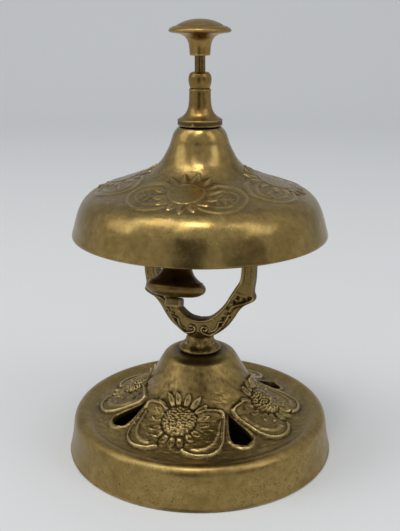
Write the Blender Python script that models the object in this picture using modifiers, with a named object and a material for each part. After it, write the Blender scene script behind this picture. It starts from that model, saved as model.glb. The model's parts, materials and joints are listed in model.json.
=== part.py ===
"""Ornate counter bell: a push knob drives a rod down on to a bell-crank hammer lever, and the
mushroom clapper on the lever swings up to the inside of a domed brass bell.

The origin is the centre of the base's bottom ring, +Z up. The front, where the clapper hangs, is -Y.
Dimensions are in millimetres and MM turns them into Blender's metres.
"""
import math

import bmesh
import bpy
from mathutils import Matrix, Vector

MM = 0.001
GAP = 0.3                     # clearance between pieces that touch

# base: one spun shell, open underneath
BASE_R = 47.5
BASE_WALL = 1.5
BASE_RING = 2.6               # width of the flat ring that it stands on
SHOULDER_R, SHOULDER_Z = 42.2, 14.4
BASE_TOP_R, BASE_TOP_Z = 10.6, 36.4
SLOT_COUNT = 4                # pierced sound slots, halfway between the panels
SLOT_IN_R, SLOT_OUT_R, SLOT_HALF = 21.8, 32.8, 3.4

# yoke: the harp-shaped frame that carries the bell and the hammer
YOKE_T = 4.5
ARM_OUT, ARM_IN = 20.2, 15.2
FOOT_R = 7.4
HUB_R, HUB_Z0, HUB_Z1 = 6.0, 98.0, 105.0
LUG_IN, LUG_OUT = 2.3, 4.3    # the two pivot lugs, from the middle plane outwards

# bell
BELL_WALL = 1.5
BELL_RIM_R, BELL_RIM_Z = 43.7, 79.5
BELL_TOP_R, BELL_TOP_Z = 7.2, 115.8

# guide stem, plunger and knob
STEM_R, STEM_BORE, STEM_TOP = 3.0, 1.5, 119.2
NECK_Z0, NECK_Z1 = 116.1, 133.3
NECK_BORE, NECK_GUIDE = 2.6, 2.05
ROD_R, ROD_THIN = 1.75, 1.2
ROD_STEP_Z = 130.0            # where the rod steps down to its thin part
KNOB_Z0, KNOB_RIM_Z, KNOB_TOP_Z = 138.4, 146.1, 149.8
KNOB_R = 10.1
SPRING_TURNS, SPRING_WIRE, SPRING_R = 6, 0.27, 2.0
STROKE = 3.9                  # how far the knob can be pushed

# hammer: pivot, lever and the clapper's axis
PIVOT_Y, PIVOT_Z = -9.0, 90.9
TAIL_HALF = 1.2
LEVER_PLATE, BOSS_HALF = 3.2, 2.0
PIN_R, PIN_HALF = 1.2, 5.7
CLAPPER_Y, CLAPPER_Z = -25.0, 67.6
CLAPPER_LEAN = math.radians(17.0)
CLAPPER_TOP = 9.0             # height of the clapper's neck above its widest ring
POST_TOP = 14.5

# fasteners
SCREW_R, SCREW_TIP_Z = 1.7, 43.0
HOLE_STEP = 0.3               # how much wider than its shaft a plain hole is

ROUND_BIG, ROUND_MID, ROUND_SMALL = 40, 24, 16

BRASS = (0.52, 0.37, 0.13)
BRASS_DARK = (0.34, 0.24, 0.10)
STEEL = (0.45, 0.43, 0.40)


def clear_scene():
    for obj in list(bpy.data.objects):
        bpy.data.objects.remove(obj, do_unlink=True)


def make_collection(name):
    collection = bpy.data.collections.new(name)
    bpy.context.scene.collection.children.link(collection)
    return collection


def make_material(name, colour, roughness, metallic=1.0):
    material = bpy.data.materials.new(name)
    material.use_nodes = True
    shader = material.node_tree.nodes["Principled BSDF"]
    shader.inputs["Base Color"].default_value = (*colour, 1.0)
    shader.inputs["Roughness"].default_value = roughness
    shader.inputs["Metallic"].default_value = metallic
    material.diffuse_color = (*colour, 1.0)
    return material


def add_part(name, mesh, colour=BRASS, roughness=0.35):
    obj = bpy.data.objects.new(name, mesh)
    PARTS.objects.link(obj)
    obj.data.materials.append(make_material(name, colour, roughness))
    return obj


def add_cutter(name, mesh, matrix=Matrix()):
    obj = bpy.data.objects.new(name, mesh)
    obj.matrix_world = matrix
    obj.hide_render = True
    obj.display_type = "WIRE"
    CUTTERS.objects.link(obj)
    return obj


def combine(obj, tool, operation):
    modifier = obj.modifiers.new(tool.name, "BOOLEAN")
    modifier.operation = operation
    modifier.object = tool
    modifier.solver = "EXACT"


def smooth_line(points, steps=4):
    """Catmull-Rom line through hand-set points, with a number of steps to each span."""
    ends = [Vector(points[0]) * 2 - Vector(points[1])]
    ends += [Vector(p) for p in points]
    ends.append(Vector(points[-1]) * 2 - Vector(points[-2]))
    line = []
    for a, b, c, d in zip(ends, ends[1:], ends[2:], ends[3:]):
        for i in range(steps):
            t = i / steps
            line.append(0.5 * (2 * b + (c - a) * t + (2 * a - 5 * b + 4 * c - d) * t ** 2
                               + (3 * b - a - 3 * c + d) * t ** 3))
    line.append(ends[-2])
    return [tuple(p) for p in line]


def arc(centre_r, centre_z, radius, start_deg, end_deg, count):
    """Points of an arc; 0 degrees points outwards and 90 up."""
    angles = [math.radians(start_deg + (end_deg - start_deg) * i / count) for i in range(count + 1)]
    return [(centre_r + radius * math.cos(a), centre_z + radius * math.sin(a)) for a in angles]


def offset_inwards(line, wall):
    """The line that lies one wall thickness inside an outer line that runs downwards."""
    inner = []
    for i, point in enumerate(line):
        before = Vector(line[max(i - 1, 0)])
        after = Vector(line[min(i + 1, len(line) - 1)])
        along = (after - before).normalized()
        inner.append((point[0] + along.y * wall, point[1] - along.x * wall))
    return inner


def turned_mesh(name, profile, closed=False):
    """The half section of a turned piece, as (radius, height) pairs, top to bottom outside."""
    bm = bmesh.new()
    verts = [bm.verts.new((r * MM, 0.0, z * MM)) for r, z in profile]
    for a, b in zip(verts, verts[1:]):
        bm.edges.new((a, b))
    if closed:
        bm.edges.new((verts[-1], verts[0]))
    mesh = bpy.data.meshes.new(name)
    bm.to_mesh(mesh)
    bm.free()
    return mesh


def spin(obj, steps):
    screw = obj.modifiers.new("turned", "SCREW")
    screw.axis = "Z"
    screw.steps = steps
    screw.render_steps = steps
    screw.use_merge_vertices = True
    screw.merge_threshold = 0.00001
    return obj


def evaluated_mesh(obj):
    """A plain mesh of an object with its modifiers applied; the object is removed."""
    depsgraph = bpy.context.evaluated_depsgraph_get()
    mesh = bpy.data.meshes.new_from_object(obj.evaluated_get(depsgraph))
    bm = bmesh.new()
    bm.from_mesh(mesh)
    bmesh.ops.remove_doubles(bm, verts=bm.verts, dist=0.000002)
    bmesh.ops.recalc_face_normals(bm, faces=bm.faces)
    bm.to_mesh(mesh)
    bm.free()
    bpy.data.objects.remove(obj, do_unlink=True)
    return mesh


def shade(mesh, sharp_deg=35.0):
    mesh.shade_smooth()
    mesh.set_sharp_from_angle(angle=math.radians(sharp_deg))


def turned(name, profile, steps, colour=BRASS, roughness=0.35, closed=False):
    """A finished turned part."""
    blank = spin(add_cutter(name + "_section", turned_mesh(name, profile, closed)), steps)
    mesh = evaluated_mesh(blank)
    shade(mesh)
    return add_part(name, mesh, colour, roughness)


def turned_cutter(name, profile, steps, matrix=Matrix()):
    mesh = evaluated_mesh(spin(add_cutter(name + "_section", turned_mesh(name, profile)), steps))
    return add_cutter(name, mesh, matrix)


def ring_profile(inner, outer, low, high):
    return [(outer, high), (outer, low), (inner, low), (inner, high)]


def rod_cutter(name, radius, low, high, matrix=Matrix(), steps=ROUND_SMALL):
    """A plain round tool on the Z axis of its matrix, turned a little so that no corners line up."""
    profile = [(0.0, high), (radius, high), (radius, low), (0.0, low)]
    return turned_cutter(name, profile, steps, matrix @ Matrix.Rotation(math.radians(4.0), 4, "Z"))


def outline_mesh(name, outlines, thickness):
    """Flat outlines in their own XY plane, given half the thickness to each side; an inner one is a hole."""
    curve = bpy.data.curves.new(name, "CURVE")
    curve.dimensions = "2D"
    curve.fill_mode = "BOTH"
    curve.extrude = thickness * MM / 2
    for outline in outlines:
        spline = curve.splines.new("POLY")
        spline.points.add(len(outline) - 1)
        for point, (u, v) in zip(spline.points, outline):
            point.co = (u * MM, v * MM, 0.0, 1.0)
        spline.use_cyclic_u = True
    return evaluated_mesh(add_cutter(name + "_outline", curve))


def mirrored(half):
    """Closes a half outline that starts and ends on the middle line with its mirror image."""
    return half + [(-u, v) for u, v in half[-2:0:-1]]


def ribbon(points, half_widths, steps=4):
    """Closed outline of a bar that follows a centre line, with a half width at each point."""
    line = smooth_line([(p[0], p[1], w) for p, w in zip(points, half_widths)], steps)
    left, right = [], []
    for i, (u, v, half) in enumerate(line):
        before = Vector(line[max(i - 1, 0)][:2])
        after = Vector(line[min(i + 1, len(line) - 1)][:2])
        side = (after - before).normalized().orthogonal() * half
        left.append((u + side.x, v + side.y))
        right.append((u - side.x, v - side.y))
    return left + right[::-1]


UPRIGHT_XZ = Matrix.Rotation(math.pi / 2, 4, "X")            # outline (u, v) to (x, z)
UPRIGHT_YZ = Matrix(((0, 0, 1, 0), (1, 0, 0, 0), (0, 1, 0, 0), (0, 0, 0, 1)))   # (u, v) to (y, z)
ACROSS = Matrix.Rotation(math.pi / 2, 4, "Y")                # Z axis to X axis


def pivot_matrix():
    return Matrix.Translation((0.0, PIVOT_Y * MM, PIVOT_Z * MM)) @ ACROSS


def clapper_matrix():
    """Origin at the middle of the clapper's widest ring, +Z up along its leaning axis."""
    place = Matrix.Translation((0.0, CLAPPER_Y * MM, CLAPPER_Z * MM))
    return place @ Matrix.Rotation(-CLAPPER_LEAN, 4, "X")


def hammer_point(height):
    """The (y, z) of a point on the clapper's axis, at a height above its widest ring."""
    return (CLAPPER_Y + height * math.sin(CLAPPER_LEAN), CLAPPER_Z + height * math.cos(CLAPPER_LEAN))


def tail_rise():
    """The tail's angle at rest, above level; at full stroke it lies as far below level."""
    return math.atan2(STROKE / 2, -PIVOT_Y)


def rod_tip_z():
    """The rod ends just above the lever's tail, which rises from the pivot."""
    rise = tail_rise()
    return PIVOT_Z - PIVOT_Y * math.tan(rise) + TAIL_HALF / math.cos(rise) + GAP


# --- base -------------------------------------------------------------------------------------

def base_line():
    """Outer line of the base, from the top hole's edge down to the bottom ring."""
    cone = smooth_line([(BASE_TOP_R, BASE_TOP_Z - 0.2), (13.1, 34.2), (16.5, 28.2), (20.8, 20.9),
                        (26.0, 17.4), (33.0, 14.8), (38.6, 13.5)], 1)
    crest = arc(SHOULDER_R, SHOULDER_Z - 3.4, 3.4, 95.0, 15.0, 4)
    return cone + crest + [(BASE_R - 1.6, 8.0), (BASE_R, 0.0)]


def make_base():
    line = [(SCREW_R + HOLE_STEP, BASE_TOP_Z), (BASE_TOP_R - 1.0, BASE_TOP_Z)] + base_line()
    inside = offset_inwards(line, BASE_WALL)
    inside[0] = (line[0][0], inside[0][1])
    inside[-1] = (BASE_R - BASE_RING, 0.0)
    base = turned("base_shell", line + inside[::-1], ROUND_BIG, closed=True)
    middle = (SLOT_IN_R + SLOT_OUT_R) / 2
    half_length = (SLOT_OUT_R - SLOT_IN_R) / 2
    outline = []
    for i in range(14):
        turn = 2 * math.pi * i / 14
        width = SLOT_HALF * math.sin(turn) * (0.86 + 0.14 * math.cos(turn))
        outline.append((middle + half_length * math.cos(turn), width))
    for i in range(SLOT_COUNT):
        angle = math.pi / SLOT_COUNT + 2 * math.pi * i / SLOT_COUNT
        place = Matrix.Rotation(angle, 4, "Z") @ Matrix.Translation((0.0, 0.0, 17.0 * MM))
        slot = add_cutter(f"slot_{i + 1}", outline_mesh(f"slot_{i + 1}", [outline], 16.0), place)
        combine(base, slot, "DIFFERENCE")


def make_base_fasteners():
    shank_hole = SCREW_R + HOLE_STEP
    washer_top = BASE_TOP_Z - BASE_WALL - GAP
    washer_low = washer_top - 0.8
    turned("base_washer", ring_profile(shank_hole, 7.0, washer_low, washer_top), ROUND_MID, STEEL, 0.4, True)
    lock_top = washer_low - GAP
    lock_low = lock_top - 1.0
    turned("base_lock_washer", ring_profile(shank_hole, 3.6, lock_low, lock_top), ROUND_MID, STEEL, 0.4, True)
    head_top = lock_low - GAP
    head_low = head_top - 2.5
    profile = [(0.0, SCREW_TIP_Z), (SCREW_R - 0.4, SCREW_TIP_Z), (SCREW_R, SCREW_TIP_Z - 0.5),
               (SCREW_R, head_top), (3.6, head_top), (3.8, head_top - 0.4), (3.4, head_low + 0.2),
               (2.8, head_low), (0.0, head_low)]
    screw = turned("base_screw", profile, ROUND_MID, STEEL, 0.4)
    bm = bmesh.new()
    bmesh.ops.create_cube(bm, size=1.0)
    bmesh.ops.scale(bm, vec=(10.0 * MM, 0.9 * MM, 2.0 * MM), verts=bm.verts)
    slot_mesh = bpy.data.meshes.new("screw_slot")
    bm.to_mesh(slot_mesh)
    bm.free()
    slot = add_cutter("screw_slot", slot_mesh, Matrix.Translation((0.0, 0.0, head_low * MM)))
    combine(screw, slot, "DIFFERENCE")


# --- yoke -------------------------------------------------------------------------------------

def harp_outlines():
    """The harp: its outer outline from the foot over the arch, and the U-shaped opening."""
    outer = [(0.0, 41.0)] + smooth_line([(3.0, 41.0), (8.1, 44.4), (12.4, 49.2), (16.1, 54.6), (20.1, 57.4)], 2)
    outer += smooth_line([(19.6, 60.4), (ARM_OUT, 66.0), (ARM_OUT, 84.0), (18.0, 91.6), (12.8, 97.4),
                          (0.0, 101.5)], 2)
    inner = smooth_line([(0.0, 98.6), (6.0, 96.2), (11.2, 91.4), (14.4, 85.6), (ARM_IN, 80.0),
                         (ARM_IN, 68.0), (14.6, 63.4), (11.4, 57.8), (7.0, 51.9), (3.6, 49.1), (0.0, 48.2)], 2)
    return mirrored(outer), mirrored(inner)


def make_yoke():
    foot_low = BASE_TOP_Z + GAP
    foot = [(0.0, 46.6), (1.3, 46.4), (2.1, 45.6), (3.5, 44.3), (4.7, 42.6), (4.9, 41.4), (5.4, 40.3),
            (6.2, 39.0), (7.0, 37.9), (FOOT_R, 37.4), (FOOT_R, foot_low), (0.0, foot_low)]
    blank = add_cutter("yoke_foot", turned_mesh("yoke_foot", foot))
    yoke = add_part("yoke", evaluated_mesh(spin(blank, ROUND_MID)))
    joins = [add_cutter("harp", outline_mesh("harp", harp_outlines(), YOKE_T), UPRIGHT_XZ)]
    joins.append(rod_cutter("hub", HUB_R, HUB_Z0, HUB_Z1, steps=ROUND_MID))
    lug = ribbon([(-3.4, 102.0), (-6.2, 96.6), (PIVOT_Y, PIVOT_Z), (PIVOT_Y - 1.5, PIVOT_Z - 2.6)],
                 [2.0, 2.6, 2.9, 1.4], 3)
    for side in (-1, 1):
        middle = side * (LUG_IN + LUG_OUT) / 2
        place = Matrix.Translation((middle * MM, 0.0, 0.0)) @ UPRIGHT_YZ
        joins.append(add_cutter(f"lug_{side + 2}", outline_mesh("lug", [lug], LUG_OUT - LUG_IN), place))
    for tool in joins:
        combine(yoke, tool, "UNION")
    hole = PIN_R + HOLE_STEP
    cuts = [rod_cutter("stem_hole", STEM_R + HOLE_STEP, HUB_Z0 - 2.0, HUB_Z1 + 2.0),
            rod_cutter("pin_hole", hole, -PIN_HALF, PIN_HALF, pivot_matrix()),
            rod_cutter("foot_hole", SCREW_R + HOLE_STEP, foot_low - 1.0, SCREW_TIP_Z + GAP)]
    for tool in cuts:
        combine(yoke, tool, "DIFFERENCE")


# --- bell -------------------------------------------------------------------------------------

def bell_line():
    """Outer line of the bell, from its flat top down to the rim."""
    return smooth_line([(BELL_TOP_R, BELL_TOP_Z), (8.9, 113.6), (9.9, 110.6), (11.9, 106.2), (14.6, 103.0),
                        (19.6, 100.2), (27.4, 97.3), (33.0, 95.6), (37.0, 93.8), (39.8, 90.9), (41.8, 86.7),
                        (BELL_RIM_R, BELL_RIM_Z)], 1)


def make_bell():
    hole = STEM_R + HOLE_STEP
    line = [(hole, BELL_TOP_Z)] + bell_line()
    inside = offset_inwards(line, BELL_WALL)
    inside[0] = (hole, BELL_TOP_Z - BELL_WALL)
    inside[-1] = (BELL_RIM_R - BELL_WALL, BELL_RIM_Z)
    turned("bell_dome", line + inside[::-1], ROUND_BIG, closed=True)


def make_nut(name, across_flats, low, high, colour=BRASS_DARK):
    bm = bmesh.new()
    corner = across_flats / 2 / math.cos(math.pi / 6)
    bmesh.ops.create_cone(bm, cap_ends=True, segments=6, radius1=corner * MM, radius2=corner * MM,
                          depth=(high - low) * MM)
    bmesh.ops.translate(bm, vec=(0.0, 0.0, (high + low) / 2 * MM), verts=bm.verts)
    mesh = bpy.data.meshes.new(name)
    bm.to_mesh(mesh)
    bm.free()
    nut = add_part(name, mesh, colour)
    combine(nut, rod_cutter(name + "_hole", STEM_R + HOLE_STEP, low - 1.0, high + 1.0), "DIFFERENCE")


def make_stem():
    """The threaded tube that the bell hangs on, with its nuts and the washer under the bell."""
    turned("guide_stem", ring_profile(STEM_BORE, STEM_R, HUB_Z0 + GAP, STEM_TOP), ROUND_SMALL, BRASS_DARK,
           0.4, True)
    make_nut("stem_lock_nut", 9.0, HUB_Z1 + GAP, HUB_Z1 + GAP + 2.3)
    washer_top = BELL_TOP_Z - BELL_WALL - GAP
    turned("bell_washer", ring_profile(STEM_R + HOLE_STEP, 6.2, washer_top - 0.8, washer_top), ROUND_MID,
           BRASS_DARK, 0.4, True)
    make_nut("bell_support_nut", 9.0, washer_top - 0.8 - GAP - 2.4, washer_top - 0.8 - GAP)


def make_neck_nut():
    """The ball-topped nut that clamps the bell and guides the rod; its bore holds the spring."""
    ball = arc(0.0, 130.2, 3.78, 50.0, -30.0, 5)
    outside = [(NECK_GUIDE, NECK_Z1)] + ball
    outside += [(3.6, 127.4), (3.6, 124.0), (3.8, 122.5), (4.2, 121.2), (5.2, 119.5), (6.4, 118.6),
                (7.4, 118.0), (7.4, NECK_Z0)]
    bore_step = STEM_TOP + 0.4
    inside = [(STEM_R + HOLE_STEP, NECK_Z0), (STEM_R + HOLE_STEP, bore_step), (NECK_BORE, bore_step),
              (NECK_BORE, 131.4), (NECK_GUIDE, 131.4)]
    turned("neck_nut", outside + inside, ROUND_MID, closed=True)


# --- plunger ----------------------------------------------------------------------------------

def make_knob():
    top = smooth_line([(0.0, KNOB_TOP_Z), (4.6, KNOB_TOP_Z - 0.8), (7.4, 148.0)], 2)
    under = smooth_line([(9.5, 145.5), (6.2, 145.1), (4.5, 144.0), (3.6, 141.9), (3.3, KNOB_Z0)], 2)
    rim = [(7.8, 147.7), (9.3, 147.1), (KNOB_R, 146.6), (KNOB_R, KNOB_RIM_Z - 0.2)]
    hole = ROD_R + HOLE_STEP
    profile = top + rim + under + [(hole, KNOB_Z0), (hole, 145.5), (0.0, 145.5)]
    turned("push_knob", profile, ROUND_MID)


def make_rod():
    tip = rod_tip_z()
    point = [(ROD_THIN * math.cos(a), tip + ROD_THIN * (1 - math.sin(a)))
             for a in (0.0, math.pi / 6, math.pi / 3, math.pi / 2)]
    profile = [(0.0, 145.2), (ROD_R, 145.2), (ROD_R, ROD_STEP_Z), (ROD_THIN, ROD_STEP_Z)]
    turned("plunger_rod", profile + point[:-1] + [(0.0, tip)], ROUND_SMALL)


def make_spring():
    low = STEM_TOP + GAP + SPRING_WIRE
    high = spring_seat_low() - GAP - SPRING_WIRE
    curve = bpy.data.curves.new("return_spring", "CURVE")
    curve.dimensions = "3D"
    curve.bevel_depth = SPRING_WIRE * MM
    curve.bevel_resolution = 1
    curve.use_fill_caps = True
    count = SPRING_TURNS * 10
    spline = curve.splines.new("POLY")
    spline.points.add(count)
    for i, point in enumerate(spline.points):
        turn = 2 * math.pi * SPRING_TURNS * i / count
        height = low + (high - low) * i / count
        point.co = (SPRING_R * math.cos(turn) * MM, SPRING_R * math.sin(turn) * MM, height * MM, 1.0)
    mesh = evaluated_mesh(add_cutter("spring_wire", curve))
    shade(mesh, 60.0)
    add_part("return_spring", mesh, STEEL, 0.3)


def spring_seat_low():
    return ROD_STEP_Z - GAP - 0.8


def make_plunger_rings():
    seat = ring_profile(ROD_THIN + 0.2, NECK_BORE - GAP, spring_seat_low(), spring_seat_low() + 0.8)
    turned("spring_seat", seat, ROUND_SMALL, BRASS_DARK, 0.4, True)
    collar = ring_profile(ROD_THIN + 0.2, 2.5, HUB_Z0 - GAP - 1.5, HUB_Z0 - GAP)
    turned("stop_collar", collar, ROUND_SMALL, BRASS_DARK, 0.4, True)


# --- hammer -----------------------------------------------------------------------------------

def make_lever():
    rise = tail_rise()
    tail = [(PIVOT_Y + d * math.cos(rise), PIVOT_Z + d * math.sin(rise)) for d in (11.4, 6.0)]
    arm = [(PIVOT_Y - 0.5, PIVOT_Z), (-14.2, 90.2), (-18.2, 86.8), hammer_point(POST_TOP), hammer_point(10.6)]
    outline = ribbon(tail + arm, [TAIL_HALF, TAIL_HALF, 2.0, 2.0, 1.9, 1.8, 1.6], 3)
    lever = add_part("hammer_lever", outline_mesh("hammer_lever", [outline], LEVER_PLATE))
    lever.data.transform(UPRIGHT_YZ)
    post_low = CLAPPER_TOP + GAP
    post = [(0.0, POST_TOP + 1.0), (1.2, POST_TOP + 0.4), (2.3, POST_TOP - 1.6), (2.9, post_low + 0.4),
            (2.9, post_low), (0.0, post_low)]
    joins = [rod_cutter("lever_boss", 3.1, -BOSS_HALF, BOSS_HALF, pivot_matrix(), ROUND_MID),
             turned_cutter("lever_post", post, ROUND_MID, clapper_matrix())]
    for tool in joins:
        combine(lever, tool, "UNION")
    cuts = [rod_cutter("lever_pin_hole", PIN_R + HOLE_STEP, -4.0, 4.0, pivot_matrix()),
            rod_cutter("post_hole", PIN_R + HOLE_STEP, post_low - 1.0, POST_TOP - 1.2, clapper_matrix())]
    for tool in cuts:
        combine(lever, tool, "DIFFERENCE")


def place(obj, matrix):
    """Sets a part in place by its own transform, with its origin where the matrix puts it."""
    obj.matrix_world = matrix
    return obj


def make_pivot_pin():
    pin = [(0.0, PIN_HALF), (PIN_R - 0.2, PIN_HALF), (PIN_R, PIN_HALF - 0.2), (PIN_R, 0.2 - PIN_HALF),
           (PIN_R - 0.2, -PIN_HALF), (0.0, -PIN_HALF)]
    place(turned("pivot_pin", pin, ROUND_SMALL, STEEL), pivot_matrix())
    low = LUG_OUT + GAP
    clip = ring_profile(PIN_R + 0.2, 2.4, low, low + 0.6)
    place(turned("pin_clip_right", clip, ROUND_SMALL, STEEL, 0.4, True), pivot_matrix())
    flipped = pivot_matrix() @ Matrix.Rotation(math.pi, 4, "Y")
    place(turned("pin_clip_left", clip, ROUND_SMALL, STEEL, 0.4, True), flipped)


def make_clapper():
    hole = PIN_R + HOLE_STEP
    neck = smooth_line([(4.2, CLAPPER_TOP), (4.5, 7.0), (5.2, 4.6), (7.4, 2.5), (9.1, 1.8)], 2)
    edge = arc(8.1, -0.1, 1.9, 50.0, -75.0, 5)
    under = [(5.5, -2.8), (3.0, -3.0)]
    profile = [(hole, CLAPPER_TOP)] + neck + edge + under + [(hole, -3.0)]
    place(turned("clapper", profile, ROUND_MID, BRASS_DARK, closed=True), clapper_matrix())
    head_top = -3.0 - GAP
    shank = [(0.0, POST_TOP - 1.6), (PIN_R, POST_TOP - 1.6), (PIN_R, head_top - 1.0), (0.0, head_top - 1.0)]
    screw = place(turned("clapper_screw", shank, ROUND_SMALL, BRASS_DARK), clapper_matrix())
    bm = bmesh.new()
    bmesh.ops.create_cube(bm, size=1.0)
    bmesh.ops.scale(bm, vec=(5.0 * MM, 5.0 * MM, 3.0 * MM), verts=bm.verts)
    bmesh.ops.translate(bm, vec=(0.0, 0.0, (head_top - 1.5) * MM), verts=bm.verts)
    bmesh.ops.bevel(bm, geom=bm.edges, offset=0.4 * MM, segments=1, affect="EDGES")
    head_mesh = bpy.data.meshes.new("screw_head")
    bm.to_mesh(head_mesh)
    bm.free()
    combine(screw, add_cutter("screw_head", head_mesh, clapper_matrix()), "UNION")


clear_scene()
PARTS = make_collection("counter_bell")
CUTTERS = make_collection("cutters")
make_base()
make_base_fasteners()
make_yoke()
make_bell()
make_stem()
make_neck_nut()
make_knob()
make_rod()
make_spring()
make_plunger_rings()
make_lever()
make_pivot_pin()
make_clapper()
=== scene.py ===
"""Looks of the ornate brass counter bell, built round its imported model.

Lengths are in millimetres and MM turns them into metres. Angles round the bell's axis start at the
front (-Y) and grow towards +X. A line is a list of (radius, height) points, a turned surface's outer
one running from top to bottom.
"""
import json
import math
from collections import namedtuple

import bmesh
import bpy
import numpy as np
from mathutils import Matrix, Vector


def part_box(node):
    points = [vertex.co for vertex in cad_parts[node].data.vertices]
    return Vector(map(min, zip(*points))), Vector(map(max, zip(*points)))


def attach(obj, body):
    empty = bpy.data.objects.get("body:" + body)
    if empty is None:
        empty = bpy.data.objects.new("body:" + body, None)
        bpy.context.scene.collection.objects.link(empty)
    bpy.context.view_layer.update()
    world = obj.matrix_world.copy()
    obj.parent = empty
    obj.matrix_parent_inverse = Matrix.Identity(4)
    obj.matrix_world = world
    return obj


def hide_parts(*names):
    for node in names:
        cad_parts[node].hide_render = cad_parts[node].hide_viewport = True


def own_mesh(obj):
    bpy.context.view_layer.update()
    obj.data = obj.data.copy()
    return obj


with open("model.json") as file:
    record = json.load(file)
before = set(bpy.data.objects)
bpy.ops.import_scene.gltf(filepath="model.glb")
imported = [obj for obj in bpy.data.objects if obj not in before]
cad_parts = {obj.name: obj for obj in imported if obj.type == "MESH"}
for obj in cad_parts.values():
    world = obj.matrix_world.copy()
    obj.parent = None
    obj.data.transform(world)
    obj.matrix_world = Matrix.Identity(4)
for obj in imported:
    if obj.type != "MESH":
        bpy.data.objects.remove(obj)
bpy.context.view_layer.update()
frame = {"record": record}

MM = 0.001
TAU = 2 * math.pi


# --- places taken from the frame ---

def low(node):
    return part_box(node)[0] / MM


def high(node):
    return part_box(node)[1] / MM


BASE_R = high("base_shell").x
BASE_TOP = high("base_shell").z
BELL_R = high("bell_dome").x
BELL_RIM_Z = low("bell_dome").z
BELL_TOP = high("bell_dome").z
NECK_Z0, NECK_Z1 = low("neck_nut").z, high("neck_nut").z
NECK_R = high("neck_nut").x
KNOB_Z0, KNOB_Z1 = low("push_knob").z, high("push_knob").z
KNOB_R = high("push_knob").x
ROD_R = high("plunger_rod").x
ROD_TIP, ROD_TOP = low("plunger_rod").z, high("plunger_rod").z
STEM_R = high("guide_stem").x
STEM_Z0, STEM_Z1 = low("guide_stem").z, high("guide_stem").z
YOKE_Z0, YOKE_Z1 = low("yoke").z, high("yoke").z
ARM_OUT = high("yoke").x
PIN_HALF = high("pivot_pin").x
PIN_R = (high("pivot_pin").z - low("pivot_pin").z) / 2
JOINTS = {joint["name"]: joint for joint in frame["record"]["behaviour"]["joints"]}
PIVOT = Vector(JOINTS["hammer_pivot"]["pos_m"]) / MM
STROKE = JOINTS["plunger_slide"]["range_m"][1] / MM
CLAPPER = Vector((0.0, -25.0, 67.6))  # middle of the clapper's widest ring
CLAPPER_LEAN = math.radians(17.0)

HOLE = 0.25  # how much wider than its shaft a hole is drawn
SCREW_HOLE_R = 1.95  # holes that the base screw goes through
PANELS = 4  # flower panels round the base, and round the bell
PANEL_STEP = TAU / PANELS
PANEL_R = 24.8  # radius of the panels' middles
BASE_WALL, BELL_WALL = 1.4, 1.4
BASE_RING = 2.6  # width of the flat ring that the base stands on
BELL_TURN = math.radians(7.8)  # how far the bell is turned on its stem
INNER_STEP, WALL_STEP = 8, 3  # one row in so many is kept inside a shell, and by its slots


# --- lines and turned meshes ---

def smooth_line(points, steps=8):
    """Catmull-Rom line through given points."""
    p = np.array(points, float)
    p = np.vstack([2 * p[0] - p[1], p, 2 * p[-1] - p[-2]])
    t = (np.arange(steps) / steps)[:, None]
    spans = []
    for a, b, c, d in zip(p, p[1:], p[2:], p[3:]):
        spans.append(0.5 * (2 * b + (c - a) * t + (2 * a - 5 * b + 4 * c - d) * t ** 2
                            + (3 * b - a - 3 * c + d) * t ** 3))
    return np.vstack(spans + [p[-2:-1]])


def arc(centre_r, centre_z, radius, start_deg, end_deg, count=8):
    """Points of an arc; 0 degrees points outwards and 90 up."""
    angle = np.radians(np.linspace(start_deg, end_deg, count + 1))
    return np.column_stack([centre_r + radius * np.cos(angle), centre_z + radius * np.sin(angle)])


def joined(*pieces):
    return np.vstack([np.array(piece, float).reshape(-1, 2) for piece in pieces])


def below(top, points):
    """Points given by their depths under a height."""
    return [(r, top - depth) for r, depth in points]


def lengths_along(line):
    return np.concatenate([[0.0], np.cumsum(np.hypot(*np.diff(line, axis=0).T))])


def points_at(wanted, lengths, line):
    """Points of a line at the wanted lengths along it."""
    return np.column_stack([np.interp(wanted, lengths, line[:, k]) for k in (0, 1)])


def rounded(line, radius=0.25, count=3):
    """A closed section with each sharp corner replaced by a small curve."""
    line = np.array(line, float)
    made = []
    for i, corner in enumerate(line):
        before, after = line[i - 1] - corner, line[(i + 1) % len(line)] - corner
        reach_in, reach_out = np.hypot(*before), np.hypot(*after)
        bend = abs(before[0] * after[1] - before[1] * after[0]) / (reach_in * reach_out)
        if bend < 0.35:
            made.append(corner)
            continue
        cut = min(radius, 0.4 * reach_in, 0.4 * reach_out)
        start, end = corner + before / reach_in * cut, corner + after / reach_out * cut
        for t in np.linspace(0, 1, count + 1):
            made.append((1 - t) ** 2 * start + 2 * t * (1 - t) * corner + t ** 2 * end)
    return np.array(made)


def refined(line, closed, step=0.6):
    """Adds points to a line's long straights, so that no face there is longer than a step."""
    line = np.array(line, float)
    ends = np.vstack([line[1:], line[:1]])
    made = []
    for i, (start, end) in enumerate(zip(line, ends)):
        last = i == len(line) - 1
        if last and not closed:
            made.append(start)
            break
        count = max(1, math.ceil(np.hypot(*(end - start)) / step))
        made += [start + (end - start) * k / count for k in range(count)]
    return np.array(made)


def linked(name, data):
    """A new object in the scene, with its data."""
    obj = bpy.data.objects.new(name, data)
    bpy.context.scene.collection.objects.link(obj)
    return obj


def new_piece(name, verts, faces, place=Matrix()):
    mesh = bpy.data.meshes.new(name)
    mesh.from_pydata([tuple(v) for v in verts], [], faces)
    mesh.transform(place)
    mesh.validate()
    bm = bmesh.new()
    bm.from_mesh(mesh)
    bmesh.ops.recalc_face_normals(bm, faces=bm.faces)
    bm.to_mesh(mesh)
    bm.free()
    mesh.shade_smooth()
    mesh.set_sharp_from_angle(angle=math.radians(50))
    return linked(name, mesh)


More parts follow.
